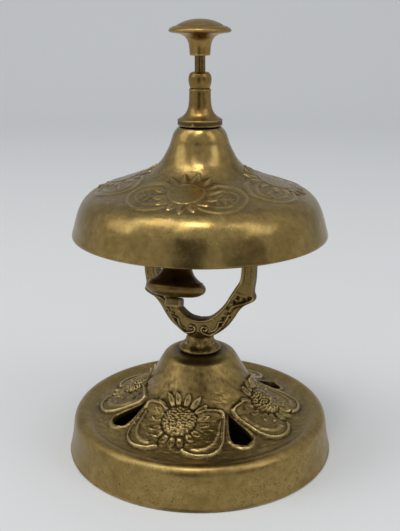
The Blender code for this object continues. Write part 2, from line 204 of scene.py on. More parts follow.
def set_points(obj, name, values):
    """Stores a value at each point: "recess" darkens the brass with soiling and patina, and in places with
    painted shade, and "crest" is bright wear.
    """
    attribute = obj.data.attributes.new(name, "FLOAT", "POINT")
    attribute.data.foreach_set("value", np.asarray(values, float).ravel())


def set_recess_by_height(obj, rule):
    """Stores a piece's recess as a function of its points' heights."""
    set_points(obj, "recess", rule(np.array([vert.co.z / MM for vert in obj.data.vertices])))


def grid_faces(rows, columns, close_rows, close_columns=True):
    """Quads of a grid. Closing its rows joins the last to the first, and so with its columns."""
    faces = []
    for i in range(rows if close_rows else rows - 1):
        a, b = i * columns, (i + 1) % rows * columns
        for j in range(columns if close_columns else columns - 1):
            k = (j + 1) % columns
            faces.append((a + j, b + j, b + k, a + k))
    return faces


def round_grid(section, angle, radius_at=None):
    """Points of a section turned round Z; radius_at may change each point's radius."""
    r = np.repeat(section[:, :1], len(angle), 1)
    z = np.repeat(section[:, 1:], len(angle), 1)
    if radius_at is not None:
        r = radius_at(r, z, angle[None, :])
    return np.stack([r * np.sin(angle), -r * np.cos(angle), z], -1).reshape(-1, 3) * MM


def angles_round(columns, gap_deg=0.0):
    """Column angles all the way round, or from one end to the other of a ring with a gap in front."""
    if gap_deg:
        return np.radians(np.linspace(gap_deg / 2, 360.0 - gap_deg / 2, columns))
    return np.arange(columns) / columns * TAU


def turned_ring(name, section, columns=96, radius_at=None, place=Matrix(), gap_deg=0.0):
    """A turned piece with a hole: its section is a closed loop. A gap in it has closed ends."""
    section = refined(section, True)
    rows = len(section)
    verts = round_grid(section, angles_round(columns, gap_deg), radius_at)
    faces = grid_faces(rows, columns, True, not gap_deg)
    if gap_deg:
        faces.append(tuple(i * columns for i in range(rows)))
        faces.append(tuple((i + 1) * columns - 1 for i in reversed(range(rows))))
    return new_piece(name, verts, faces, place)


def turned_solid(name, line, columns=96, radius_at=None, place=Matrix()):
    """A turned piece whose line starts and ends on the axis."""
    line = refined(line, False)
    body = line[1:-1]
    verts = list(round_grid(body, angles_round(columns), radius_at))
    faces = grid_faces(len(body), columns, False)
    top, bottom = len(verts), len(verts) + 1
    verts += [(0.0, 0.0, line[0][1] * MM), (0.0, 0.0, line[-1][1] * MM)]
    last = (len(body) - 1) * columns
    for j in range(columns):
        k = (j + 1) % columns
        faces += [(top, j, k), (bottom, last + k, last + j)]
    return new_piece(name, verts, faces, place)


def hexagon(flats, chamfer, bottom, top):
    """Makes a turned ring six-sided outside, with its corners turned off at both faces."""
    def radius_at(r, z, angle):
        side = (angle + math.pi / 6) % (math.pi / 3) - math.pi / 6
        hex_r = flats / 2 / np.cos(side)
        edge = np.minimum(z - bottom, top - z)
        return np.where(r > flats / 2 - 0.6, np.minimum(hex_r, flats / 2 + chamfer + 1.7 * edge), r)
    return radius_at


def threaded(pitch, depth, z0, z1, least):
    """Cuts a thread into the outside of a turned piece between two heights."""
    def radius_at(r, z, angle):
        turn = (z / pitch - angle / TAU) % 1.0
        groove = depth * np.abs(2 * turn - 1)
        fade = np.clip((z - z0) / pitch, 0, 1) * np.clip((z1 - z) / pitch, 0, 1)
        return np.where(r > least, r - groove * fade, r)
    return radius_at


# --- relief ---

def hump(distance, half_width):
    """1 on a line, falling smoothly to 0 at half_width from it."""
    return np.clip(1 - (distance / half_width) ** 2, 0, None) ** 1.5


def step_up(value, start, end):
    t = np.clip((value - start) / (end - start), 0, 1)
    return t * t * (3 - 2 * t)


def distance_to(u, v, path):
    """Distance of each point to a polyline."""
    best = np.full(u.shape, 1e9)
    for (u0, v0), (u1, v1) in zip(path, path[1:]):
        du, dv = u1 - u0, v1 - v0
        t = np.clip(((u - u0) * du + (v - v0) * dv) / (du * du + dv * dv + 1e-12), 0, 1)
        best = np.minimum(best, np.hypot(u - u0 - t * du, v - v0 - t * dv))
    return best


def ridge(u, v, path, half_width):
    """1 on a polyline, falling smoothly to 0 at half_width from it."""
    return hump(distance_to(u, v, path), half_width)


def highest(*heights):
    return np.maximum.reduce(heights)


def inside(u, v, path):
    """True within a closed polyline."""
    result = np.zeros(u.shape, bool)
    for (u0, v0), (u1, v1) in zip(path, np.roll(path, -1, 0)):
        if v0 != v1:
            crosses = (v0 > v) != (v1 > v)
            result ^= crosses & (u < (u1 - u0) * (v - v0) / (v1 - v0) + u0)
    return result


def petal_place(u, v, count, inner, outer):
    """Where each point lies on its petal: share of the length, distance from the middle line."""
    distance = np.hypot(u, v)
    step = TAU / count
    angle = np.arctan2(v, u) - math.pi / 2
    number = np.floor((angle + step / 2) / step)
    turned = (angle + step / 2) % step - step / 2
    turned = turned + 0.035 * np.sin(2.7 * number)
    length = (outer - inner) * (1 + 0.09 * np.sin(4.3 * number + 0.6))
    along = np.clip((distance * np.cos(turned) - inner) / length, 0, 1)
    fade = step_up(distance, inner - 0.7, inner + 0.3) * (along < 1)
    return along, np.abs(distance * np.sin(turned)), fade


def pod_petals(u, v, count, inner, outer, half, height):
    """A ring of pod-shaped petals, each with a raised rim round a groove."""
    along, across, fade = petal_place(u, v, count, inner, outer)
    width = half * (along * 0.72 + 0.28) ** 0.45 * np.clip(1 - along ** 2.4, 1e-6, 1) ** 0.72 + 1e-6
    x = np.clip(across / width, 0, 1)
    groove = 0.65 * (1 - x ** 2) * np.sin(math.pi * np.clip(along * 1.1, 0, 1))
    return height * (1 - x ** 4) * (1 - groove) * fade * (0.7 + 0.5 * along)


def tooth_petals(u, v, count, inner, outer, half, height):
    """A ring of pointed petals, each ridged along its middle like a roof."""
    along, across, fade = petal_place(u, v, count, inner, outer)
    width = half * np.clip(1 - along, 1e-6, 1) ** 0.62 + 1e-6
    x = np.clip(across / width, 0, 1)
    return height * (1 - 0.45 * x - 0.55 * x ** 6) * fade * (0.75 + 0.35 * along)


# The right half of each panel's pattern, from the middle of the panel; v grows down the panel.
BASE_LOBE = smooth_line([(4.8, 9.6), (6.4, 10.8), (9.6, 11.9), (13.6, 11.8), (16.2, 10.2), (17.0, 7.0),
                         (16.4, 3.4), (15.7, 0.0), (14.8, -4.0), (13.2, -5.6), (10.4, -6.3), (7.8, -6.5),
                         (5.9, -5.6)], 6)
BASE_FOLD = smooth_line([(13.9, -1.5), (14.0, 1.0), (14.3, 4.0), (13.4, 7.3), (10.8, 9.0), (8.0, 8.9)], 6)
BELL_LOBE = smooth_line([(5.4, 7.6), (8.2, 9.3), (12.2, 10.4), (16.2, 10.2), (19.0, 8.2), (20.2, 5.0),
                         (19.2, 1.4), (16.0, -2.0), (12.0, -4.3), (8.0, -5.6)], 6)
BELL_LEAF = smooth_line([(7.2, 5.4), (10.6, 7.3), (14.2, 7.4), (16.8, 5.2), (16.8, 2.4), (14.2, -0.2),
                         (10.8, -2.0), (8.0, -2.6)], 6)
LEAF_RIB = [(6.5, 2.0), (11.0, 2.8), (15.6, 3.8)]
SEED_R, SEED_COUNT = 6.3, 82
FLOWER_UP = 1.4  # how far the base's flowers sit above their panels' middles
BELL_DISC_R = 6.1
BELL_RELIEF = 0.50  # how much the struck pattern has worn down
CRUMPLE_CELLS = 64


def seed_head(u, v):
    """A dome of seeds laid in spirals, as on a sunflower, the largest at its middle."""
    distance = np.hypot(u, v)
    dome = 2.5 * np.clip(1 - (distance / SEED_R) ** 2, 0, None) ** 0.6
    near = distance < SEED_R
    near_u, near_v = u[near], v[near]
    seeds = np.zeros(near_u.shape)
    golden = math.pi * (3 - math.sqrt(5))
    uneven = np.random.default_rng(5).uniform(-1, 1, (SEED_COUNT, 4))
    for n, (right, up, wider, taller) in enumerate(uneven):
        share = ((n + 0.5) / SEED_COUNT) ** 0.43
        r = SEED_R * 0.96 * share
        du = near_u - r * math.cos(n * golden) - 0.22 * right
        dv = near_v - r * math.sin(n * golden) - 0.22 * up
        size = (1.12 - 0.38 * share) * (1 + 0.22 * wider)
        height = (0.72 - 0.25 * share) * (1 + 0.4 * taller)
        seeds = np.maximum(seeds, height * hump(np.hypot(du, dv), size))
    dome[near] += seeds - 0.25
    return dome


def crumple(x, y, size, seed):
    """Smooth random bumps from -1 to 1 of about a size in millimetres, the same in each run."""
    table = np.random.default_rng(seed).uniform(-1, 1, (CRUMPLE_CELLS, CRUMPLE_CELLS))
    column, row = np.floor(x / size).astype(int), np.floor(y / size).astype(int)
    across, up = step_up(x / size - column, 0.0, 1.0), step_up(y / size - row, 0.0, 1.0)

    def corner(right, above):
        return table[(column + right) % CRUMPLE_CELLS, (row + above) % CRUMPLE_CELLS]

    bottom = corner(0, 0) * (1 - across) + corner(1, 0) * across
    top = corner(0, 1) * (1 - across) + corner(1, 1) * across
    return bottom * (1 - up) + top * up


def base_relief(u, v):
    """Height of a base panel: seed head, petals and a ridged leaf lobe to each side."""
    side = np.abs(u)
    leaf = np.where(inside(side, v, BASE_LOBE), 0.42 + 0.36 * ridge(side, v, BASE_FOLD, 1.15), 0)
    petals = pod_petals(u, v + FLOWER_UP, 17, 6.4, 11.0, 1.65, 1.1)
    return highest(leaf, 0.92 * ridge(side, v, BASE_LOBE, 1.0), petals, seed_head(u, v + FLOWER_UP))


def bell_relief(u, v):
    """Height of a bell panel: a plain disc, broad petals and a veined leaf to each side."""
    side = np.abs(u)
    vein = ridge(side, v, LEAF_RIB, 0.6)
    for reach in (8.6, 11.2, 13.6):
        for way in (-1, 1):
            twig = [(reach, 2.0 + reach * 0.08), (reach + 2.0, 2.4 + reach * 0.08 + way * 2.5)]
            vein = highest(vein, ridge(side, v, twig, 0.6))
    lobe = np.where(inside(side, v, BELL_LOBE), 0.12 + 0.38 * ridge(side, v, BELL_LEAF, 0.75), 0)
    leaf = np.where(inside(side, v, BELL_LEAF), 0.14 + 0.28 * vein, 0)
    distance = np.hypot(u, v)
    disc = 0.85 * (1 - step_up(distance, BELL_DISC_R - 0.35, BELL_DISC_R + 0.1))
    disc = disc + 0.16 * hump(distance - BELL_DISC_R + 0.55, 0.5)
    petals = tooth_petals(u, v, 15, 5.9, 11.0, 2.3, 0.9)
    return BELL_RELIEF * highest(0.62 * ridge(side, v, BELL_LOBE, 1.0), lobe, leaf, petals, disc)


# A shell's pattern: one panel's relief, the first panel's turn round the axis, and how uneven the
# metal is.
Panels = namedtuple("Panels", "relief turn unevenness")
# Places along the line from a panel's middle, between which the relief starts, is full and ends
RELIEF_STARTS, RELIEF_ENDS = (-16.0, -12.5), (13.5, 15.0)


def panel_height(panels, s, r, angle, s_centre):
    """One panel's relief repeated round the axis, on metal that is a little uneven."""
    offset = (angle - panels.turn + PANEL_STEP / 2) % PANEL_STEP - PANEL_STEP / 2
    u = r * offset
    x, y = r * np.sin(angle), s * 1.2 + r * np.cos(angle)
    uneven = 0.6 * crumple(x, y, 1.7, 1) + 0.4 * crumple(x, y, 0.8, 2)
    return panels.relief(u, np.broadcast_to(s - s_centre, u.shape)) + panels.unevenness * uneven


def warped_angles(columns, turn):
    """Column angles, set closer over the panels than between them."""
    even = np.arange(columns) / columns * TAU
    return even + turn - 0.18 / PANELS * np.sin(PANELS * even)


def blurred(field, reach):
    """Box average over a grid that closes in its columns."""
    total = np.zeros(field.shape)
    for k in range(-reach, reach + 1):
        total += np.roll(field, k, 1)
    field = total / (2 * reach + 1)
    padded = np.pad(field, ((reach, reach), (0, 0)), "edge")
    return sum(padded[k:k + len(field)] for k in range(2 * reach + 1)) / (2 * reach + 1)


# A pierced slot between two panels: the radii of its ends, half its width, and the angle to each
# side of it over which the shell's columns make room.
Slot = namedtuple("Slot", "inner outer half reach")


def slot_angle(r, slot):
    """Half a slot's angle at a radius: pointed inwards, widest and rounded outwards, 0 past its ends."""
    t = np.clip((r - slot.inner) / (slot.outer - slot.inner), 0, 1)
    width = slot.half * 1.5 * t ** 0.9 * np.clip(1 - t ** 5, 0, 1) ** 0.5
    return width / r * ((r > slot.inner) & (r < slot.outer))


def slot_lip(angle, r, half, slot, turn):
    """A low raised lip along a slot's sides and round its outer end."""
    offset = np.abs((angle - turn) % PANEL_STEP - PANEL_STEP / 2)
    t = (r - slot.inner) / (slot.outer - slot.inner)
    along = step_up(t, 0.0, 0.15) * (1 - step_up(t, 1.02, 1.1))
    side = 0.35 * hump((offset - half) * r - 0.7, 0.8) * along
    end = hump(np.hypot(offset * r * 0.8, r - slot.outer + 1.4) - 2.5, 0.9)
    return side + 0.5 * end * step_up(r, slot.outer - 1.6, slot.outer + 0.2)


def spread_rows(line, lengths, stretches, last_spacing):
    """Row positions along a shell's line; stretches are (radius at the end, spacing of the rows)."""
    widest = np.argmax(line[:, 0]) + 1
    marks = [(float(np.interp(r, line[:widest, 0], lengths[:widest])), gap) for r, gap in stretches]
    rows, s = [], 0.0
    for end, spacing in marks + [(lengths[-1], last_spacing)]:
        count = max(1, round((end - s) / spacing))
        rows += list(s + (end - s) * np.arange(count) / count)
        s = end
    return np.array(rows + [s])


class Shell:
    """A thin turned shell with relief outside, a plain inside and optional pierced slots.

    Its points form a grid, with rows down the line and columns round the axis. A slot opens along
    the column at its middle, which has a second copy there, so that the slot's sides can part.
    """

    def __init__(self, line, spacings, wall, panels, columns, slot=None):
        self.wall, self.panels, self.columns, self.slot = wall, panels, columns, slot
        s_line = lengths_along(line)
        self.rows = spread_rows(line, s_line, *spacings)
        self.r, self.z = points_at(self.rows, s_line, line).T
        along_r, along_z = points_at(self.rows, s_line, np.gradient(line, s_line, axis=0)).T
        size = np.hypot(along_r, along_z)
        self.normal_r, self.normal_z = -along_z / size, along_r / size
        widest = np.argmax(self.r)
        self.s_centre = np.interp(PANEL_R, self.r[:widest], self.rows[:widest])
        self.grid = np.repeat(warped_angles(columns, panels.turn)[None, :], len(self.rows), 0)
        self.half = slot_angle(self.r, slot) if slot else np.zeros(len(self.rows))
        self.open_rows = np.where(self.half > 0)[0]
        self.middles = [round((k + 0.5) * columns / PANELS) for k in range(PANELS)] if slot else []

    def inner_rows(self):
        """Rows of the plain inside: few, but closer together beside the slots."""
        picked = np.arange(0, len(self.rows), INNER_STEP)
        if self.slot:
            first, last = self.open_rows[0] - 1, self.open_rows[-1] + 1
            picked = picked[(picked < first - 2) | (picked > last + 2)]
            picked = np.concatenate([picked, np.arange(first, last + 1, WALL_STEP), [last]])
        return np.unique(np.append(picked, len(self.rows) - 1))

    def parted(self, side):
        """Column angles, parted at each slot; side is where the slot's middle column goes."""
        angles, half = self.grid, self.half[:, None]
        for j in self.middles:
            middle = self.panels.turn + j / self.columns * TAU
            offset = (self.grid - middle + math.pi) % TAU - math.pi
            way = np.where(np.abs(offset) < 1e-6, side, np.sign(offset))
            moved = middle + way * (half + np.abs(offset) * (1 - half / self.slot.reach))
            angles = np.where(np.abs(offset) < self.slot.reach, moved, angles)
        return angles

    def relief(self, angle):
        """Height of the whole outside: panels and slots' lips, faded out above and below them."""
        s, r, centre = self.rows[:, None], self.r[:, None], self.s_centre
        height = panel_height(self.panels, s, r, angle, centre)
        if self.slot:
            height = height + slot_lip(angle, r, self.half[:, None], self.slot, self.panels.turn)
        starts, ends = [[centre + place for place in pair] for pair in (RELIEF_STARTS, RELIEF_ENDS)]
        return height * (step_up(s, *starts) * (1 - step_up(s, *ends)))

    def points(self, angle, picked, height):
        """Points of the picked rows, moved out from the line by a height."""
        angle = angle[picked]
        height = height + np.zeros(angle.shape)
        radius = self.r[picked][:, None] + self.normal_r[picked][:, None] * height
        level = self.z[picked][:, None] + self.normal_z[picked][:, None] * height
        return np.stack([radius * np.sin(angle), -radius * np.cos(angle), level], -1) * MM

    def faces(self, near, far, picked):
        """Quads of both layers, their two edges and the slots' walls.

        near and far number the points of the outside and the inside. far has a slot's second copies.
        """
        made = []
        for layer, way in ((0, 1), (1, -1)):
            after = np.roll(near[layer], -1, 1)
            quads = np.stack([far[layer][:-1], far[layer][1:], after[1:], after[:-1]], -1)
            made += [tuple(quad[::way]) for quad in quads.reshape(-1, 4).tolist()]
        (outer, inner), (next_outer, next_inner) = near, [np.roll(grid, -1, 1) for grid in near]
        lower = np.stack([outer[-1], inner[-1], next_inner[-1], next_outer[-1]], -1)
        upper = np.stack([inner[0], outer[0], next_outer[0], next_inner[0]], -1)
        made += np.stack([lower, upper], 1).reshape(-1, 4).tolist()
        for j in self.middles:
            beside = [(n, i) for n, i in enumerate(picked)
                      if self.open_rows[0] - 1 <= i <= self.open_rows[-1] + 1]
            for (n, i), (next_n, next_i) in zip(beside, beside[1:]):
                for (outer, inner), way in ((near, -1), (far, 1)):
                    wall = [*outer[i:next_i + 1, j].tolist(), int(inner[next_n, j]), int(inner[n, j])]
                    made.append(wall[::way])
        return made

    def build(self, name, tarnish_and_shade, wear, foot_r=0.0):
        """Makes the piece, with its outside's recess and crest; foot_r widens its lower edge."""
        picks = np.arange(len(self.rows)), self.inner_rows()
        angle, far_angle = self.parted(-1), self.parted(1)
        height = self.relief(angle)
        layers = [self.points(angle, picks[0], height), self.points(angle, picks[1], -self.wall)]
        if foot_r:
            edge = layers[1][-1]
            edge *= (foot_r / np.hypot(edge[:, 0], edge[:, 1]) * MM)[:, None]
            edge[:, 2] = layers[0][-1][:, 2]
        verts = list(np.vstack(layers).reshape(-1, 3))
        near = np.split(np.arange(len(verts)).reshape(-1, self.columns), [len(self.rows)])
        far = [grid.copy() for grid in near]
        if self.slot:
            heights = self.relief(far_angle), -self.wall
            copies = [self.points(far_angle, picked, depth) for picked, depth in zip(picks, heights)]
        for j in self.middles:
            for picked, grid, points in zip(picks, far, copies):
                opened = np.isin(picked, self.open_rows)
                grid[opened, j] = len(verts) + np.arange(opened.sum())
                verts += list(points[opened, j])
        piece = new_piece(name, verts, self.faces(near, far, picks[1]))
        recess, crest = np.full(len(verts), 0.9), np.zeros(len(verts))
        # The relief's hollows darken with patina; the piece's own rule adds more, and round the base's top
        # painted shade.
        sunk = (blurred(height, 4) - height) * 1.8 + (blurred(height, 11) - height) * 0.8
        recess[near[0]] = np.clip(sunk + tarnish_and_shade(self.r[:, None], self.grid), 0, 1)
        recess[far[0]] = recess[near[0]]
        crest[near[0]] = np.clip((height - blurred(height, 5)) * wear, 0, 1)
        set_points(piece, "recess", recess)
        set_points(piece, "crest", crest)
        return piece


# --- materials ---

class Nodes:
    """A metal's node tree, with short names for building it."""

    def __init__(self, name):
        self.material = bpy.data.materials.new(name)
        self.material.use_nodes = True
        self.tree = self.material.node_tree
        coords = self.add("ShaderNodeTexCoord").outputs["Object"]
        scaled = self.add("ShaderNodeVectorMath", {0: coords, "Scale": 1 / MM}, operation="SCALE")
        self.vector = scaled.outputs[0]

    def end(self, colour, roughness, bump):
        """Joins the metal's colour, roughness and bump to its shader, and gives the material."""
        shader = self.tree.nodes["Principled BSDF"]
        self.feed(shader.inputs["Base Color"], colour)
        self.feed(shader.inputs["Roughness"], roughness)
        self.feed(shader.inputs["Normal"], bump.outputs["Normal"])
        shader.inputs["Metallic"].default_value = 1.0
        return self.material

    def add(self, kind, inputs=None, **settings):
        node = self.tree.nodes.new(kind)
        for key, value in settings.items():
            setattr(node, key, value)
        for key, value in (inputs or {}).items():
            self.feed(node.inputs[key], value)
        return node

    def feed(self, socket, value):
        if isinstance(value, bpy.types.NodeSocket):
            self.tree.links.new(value, socket)
        else:
            socket.default_value = value

    def math(self, operation, a, b=0.0, c=0.0, clamp=False):
        node = self.add("ShaderNodeMath", {0: a, 1: b, 2: c}, operation=operation, use_clamp=clamp)
        return node.outputs[0]

    def noise(self, vector, scale, detail=3.0, roughness=0.55, distortion=0.0):
        node = self.add("ShaderNodeTexNoise", {"Vector": vector, "Scale": scale, "Detail": detail,
                                               "Roughness": roughness, "Distortion": distortion})
        return node.outputs["Fac"]

    def ramp(self, value, *stops):
        node = self.add("ShaderNodeValToRGB", {"Fac": value})
        elements = node.color_ramp.elements
        while len(elements) < len(stops):
            elements.new(0.5)
        for element, (position, colour) in zip(elements, stops):
            element.position = position
            element.color = (*colour, 1.0) if len(colour) == 3 else (colour[0],) * 3 + (1.0,)
        return node.outputs["Color"]

    def range(self, value, low, high, to_low=0.0, to_high=1.0):
        node = self.add("ShaderNodeMapRange", {"Value": value, "From Min": low, "From Max": high,
                                               "To Min": to_low, "To Max": to_high})
        node.interpolation_type = "SMOOTHSTEP"
        return node.outputs["Result"]

    def mix(self, factor, a, b):
        node = self.add("ShaderNodeMix", data_type="RGBA")
        self.feed(node.inputs["Factor"], factor)
        for socket, value in ((node.inputs[6], a), (node.inputs[7], b)):
            self.feed(socket, (*value, 1.0) if isinstance(value, tuple) else value)
        return node.outputs[2]


# The first colour darkens soiling and painted shade, the second pits, and the third is worn brass.
DIRT_AND_SHADE, PIT, BRIGHT = (0.040, 0.028, 0.013), (0.03, 0.022, 0.012), (0.72, 0.56, 0.27)


def brass(name, tones, roughness, rings=0.0, grain=0.5, grime_and_shade=1.0, pits=0.0, waves=0.0, specks=0.35,
          edges=1.0):
    """Aged brass: blotchy patina, hollows and creases darkened by soiling and painted shade, worn bright
    edges, fine grain and pits.

    rings, grain, pits and waves shape the surface: turning lines, fine bumps, small craters, and the
    sheet's slow swell in millimetres. grime, specks and edges colour it: soiling with painted shade, dark
    flecks and wear.
    """
    n = Nodes(name)
    dark, middle, light = tones
    vector = n.vector
    blotch = n.noise(vector, 0.07, 5.0, 0.6, 0.4)
    mottle = n.noise(vector, 0.42, 6.0, 0.68, 0.2)
    speckle = n.noise(vector, 1.35, 3.0, 0.62)
    tone = n.math("MULTIPLY_ADD", mottle, 0.45, n.math("MULTIPLY", blotch, 0.55))
    colour = n.ramp(tone, (0.36, dark), (0.5, middle), (0.64, light))
    patchy = n.range(blotch, 0.40, 0.62, 0.15, 1.0)
    fleck = n.math("MULTIPLY", n.range(speckle, 0.33, 0.46, specks, 0.0), patchy)
    colour = n.mix(fleck, colour, tuple(c * 0.3 for c in dark))
    # The stored recess and concave creases darken the colour: patina and soiling in the hollows, painted
    # shade in the creases, round the base's top and on the yoke's sides.
    recess = n.add("ShaderNodeAttribute", attribute_name="recess").outputs["Fac"]
    point = n.add("ShaderNodeNewGeometry").outputs["Pointiness"]
    crease_shade = n.range(point, 0.497, 0.462)
    dirt_and_shade = n.math("MAXIMUM", recess, crease_shade)
    dirt_and_shade = n.math("MULTIPLY", dirt_and_shade, n.range(mottle, 0.25, 0.6, 0.65, 1.0), clamp=True)
    dirt_and_shade = n.math("MULTIPLY", dirt_and_shade, grime_and_shade, clamp=True)
    colour = n.mix(dirt_and_shade, colour, DIRT_AND_SHADE)
    crest = n.add("ShaderNodeAttribute", attribute_name="crest").outputs["Fac"]
    worn = n.math("MAXIMUM", crest, n.range(point, 0.515, 0.56, 0.0, edges))
    worn = n.math("MULTIPLY", worn, n.range(mottle, 0.3, 0.6, 0.4, 1.0))
    colour = n.mix(n.math("MULTIPLY", worn, 0.6), colour, BRIGHT)
    rough = n.math("MULTIPLY_ADD", mottle, 0.12, roughness - 0.06)
    rough = n.math("MULTIPLY_ADD", blotch, 0.16, n.math("ADD", rough, -0.08))
    rough = n.math("MULTIPLY_ADD", dirt_and_shade, 0.25, rough)
    rough = n.math("MULTIPLY_ADD", worn, -0.08, rough, clamp=True)
    height = n.math("MULTIPLY_ADD", speckle, 0.35 * grain, n.math("MULTIPLY", mottle, 0.9 * grain))
    if rings:
        parts = n.add("ShaderNodeSeparateXYZ", {0: vector}).outputs
        radius = n.math("SQRT", n.math("ADD", n.math("MULTIPLY", parts[0], parts[0]),
                                       n.math("MULTIPLY", parts[1], parts[1])))
        ring_vector = n.add("ShaderNodeCombineXYZ", {0: radius, 2: parts[2]}).outputs[0]
        lines = n.noise(ring_vector, 5.0, 2.0, 0.7)
        height = n.math("MULTIPLY_ADD", lines, rings, height)
    if pits:
        cells = n.add("ShaderNodeTexVoronoi", {"Vector": vector, "Scale": 0.16})
        spot = n.range(cells.outputs["Distance"], 0.07, 0.03)
        chosen = n.range(n.add("ShaderNodeSeparateColor", {0: cells.outputs["Color"]}).outputs[0], 0.62, 0.66)
        pit = n.math("MULTIPLY", n.math("MULTIPLY", spot, chosen), pits, clamp=True)
        colour = n.mix(pit, colour, PIT)
        height = n.math("MULTIPLY_ADD", pit, -1.2, height)
    bump = n.add("ShaderNodeBump", {"Height": height, "Strength": 0.35, "Distance": 0.12 * MM})
    if waves:
        swell = n.noise(vector, 0.07, 1.5, 0.5)
        sheet = n.add("ShaderNodeBump", {"Height": swell, "Strength": 1.0, "Distance": waves * MM})
        n.feed(bump.inputs["Normal"], sheet.outputs["Normal"])
    return n.end(colour, rough, bump)


def steel(name):
    """Zinc-coated steel, slightly dull, with fine turning marks."""
    n = Nodes(name)
    mottle = n.noise(n.vector, 0.8, 5.0, 0.65)
    fine = n.noise(n.vector, 5.0, 2.0)
    colour = n.ramp(mottle, (0.35, (0.20, 0.185, 0.16)), (0.5, (0.36, 0.34, 0.31)),
                    (0.68, (0.50, 0.48, 0.45)))
    bump = n.add("ShaderNodeBump", {"Height": fine, "Strength": 0.25, "Distance": 0.05 * MM})
    return n.end(colour, n.range(mottle, 0.3, 0.7, 0.30, 0.48), bump)


DARK, MIDDLE, LIGHT = (0.215, 0.142, 0.047), (0.300, 0.206, 0.070), (0.395, 0.280, 0.103)
WARM = (1.0, 0.91, 0.80)  # how the turned fittings' browner brass differs


def shaded(share, warm=False):
    """The three brass tones, darkened by a share for pieces that have tarnished more, and as painted shade
    for the pieces under the bell.
    """
    tint = WARM if warm else (1.0, 1.0, 1.0)
    return [tuple(c * t * share for c, t in zip(tone, tint)) for tone in (DARK, MIDDLE, LIGHT)]


# Shares below 1 stand for more patina, and for the pieces under the bell also painted shade.
BRASSES = [  # name, share of the tones, whether they are warm, roughness, the rest
    ("bell_brass", 1.0, False, 0.25, dict(rings=0.15, grain=0.3, grime_and_shade=0.75, pits=0.8, waves=1.0, edges=0.0)),
    ("base_brass", 1.0, False, 0.34, dict(rings=0.1, grain=1.1, pits=1.0, waves=0.6, specks=0.55, edges=0.0)),
    ("yoke_brass", 0.84, False, 0.36, dict(grain=1.3, specks=0.8)),
    ("neck_brass", 0.8, True, 0.29, dict(rings=0.5, grain=0.3, grime_and_shade=0.9)),
    ("knob_brass", 1.05, True, 0.32, dict(rings=0.5, grain=0.3, grime_and_shade=0.8)),
    ("rod_brass", 0.6, True, 0.26, dict(grain=0.2, grime_and_shade=0.6)),
    ("lever_brass", 0.5, True, 0.46, dict(grain=0.9)),
    ("clapper_brass", 0.6, True, 0.36, dict(rings=0.3, grain=1.1, grime_and_shade=0.9, specks=0.75)),
    ("fitting_brass", 0.8, False, 0.40, dict(rings=0.3, grain=0.4)),
]
MATERIALS = {name: brass(name, shaded(share, warm), roughness, **rest)
             for name, share, warm, roughness, rest in BRASSES}
MATERIALS["steel"] = steel("steel")


def finish(obj, body, slot, node):
    """Gives a piece the body it moves with and its finish, and hides the node it stands for."""
    obj.data.materials.clear()
    obj.data.materials.append(MATERIALS[slot])
    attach(obj, body)
    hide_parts(node)


# --- base and bell ---

def base_line():
    cone = smooth_line([(10.6, BASE_TOP - 0.25), (12.4, 35.1), (13.8, 33.0), (16.5, 28.2), (19.0, 23.6),
                        (21.0, 20.6), (23.4, 18.6), (28.0, 16.4), (33.0, 14.5), (36.2, 13.55), (38.2, 13.25),
                        (39.6, 13.5), (40.8, 14.05), (41.7, 14.36)], 8)
    crest = arc(42.2, 11.0, 3.4, 88.0, 12.0, 14)
    wall = smooth_line([(45.9, 9.4), (46.3, 6.0), (46.9, 2.9), (BASE_R - 0.3, 0.45)], 5)
    foot = arc(BASE_R - 0.45, 0.45, 0.45, -10.0, -90.0, 3)
    return joined([(2.2, BASE_TOP), (9.2, BASE_TOP)], cone, crest, wall, foot)


def base_tarnish_and_shade(r, angle):
    """How dark the base is made: painted shade round its top about the yoke's foot, and patina in patches on
    the cone and in the sunk ring of panels.
    """
    # Painted shade: the top round the yoke's foot is darkened.
    top = 0.75 * (1 - step_up(r, 7.5, 11.0))
    ring = 0.16 * step_up(r, 18.0, 22.0) * (1 - step_up(r, 38.0, 41.0))
    x, y = 15.0 * np.sin(angle), 15.0 * np.cos(angle) + 2.2 * r
    patches = 0.7 * crumple(x, y, 5.5, 3) + 0.5 * crumple(x, y, 1.5, 4) + 0.4 * crumple(x, y, 0.7, 6)
    cone = step_up(r, 12.0, 13.5) * (1 - step_up(r, 19.0, 24.0))
    return top + ring + 0.75 * cone * np.clip(patches, 0, 1)


def make_base():
    slot = Slot(21.6, 33.6, 3.7, math.radians(17.0))
    spacings = [(9.0, 2.2), (13.0, 0.5), (17.0, 1.0), (37.5, 0.235)], 0.64
    shell = Shell(base_line(), spacings, BASE_WALL, Panels(base_relief, 0.0, 0.13), 488, slot)
    piece = shell.build("base", base_tarnish_and_shade, 2.2, BASE_R - BASE_RING)
    finish(piece, "frame", "base_brass", "base_shell")


def bell_line():
    body = smooth_line([(6.6, BELL_TOP), (7.4, 115.4), (8.6, 113.9), (9.35, 112.0), (9.9, 110.2),
                        (11.3, 107.2), (13.2, 104.2), (16.2, 101.6), (20.6, 99.4), (27.4, 96.9),
                        (32.6, 95.2), (36.4, 93.8), (39.1, 91.6), (40.8, 88.9), (42.0, 85.6), (42.9, 82.4),
                        (BELL_R - 0.15, 80.2)])
    rim = arc(BELL_R - 0.65, BELL_RIM_Z + 0.5, 0.5, 0.0, -90.0, 4)
    return joined([(3.3, BELL_TOP), (5.8, BELL_TOP)], body, rim)


def bell_tarnish(r, angle):
    """How dull the bell is: only a little, among its panels."""
    return 0 * angle + 0.16 * step_up(r, 14.0, 18.0) * (1 - step_up(r, 34.0, 38.0))


def make_bell():
    spacings = [(6.2, 1.5), (12.5, 0.55), (37.5, 0.25)], 0.6
    shell = Shell(bell_line(), spacings, BELL_WALL, Panels(bell_relief, BELL_TURN, 0.03), 496)
    piece = shell.build("bell", bell_tarnish, 1.2)
    finish(piece, "frame", "bell_brass", "bell_dome")


# --- neck, knob and rod ---

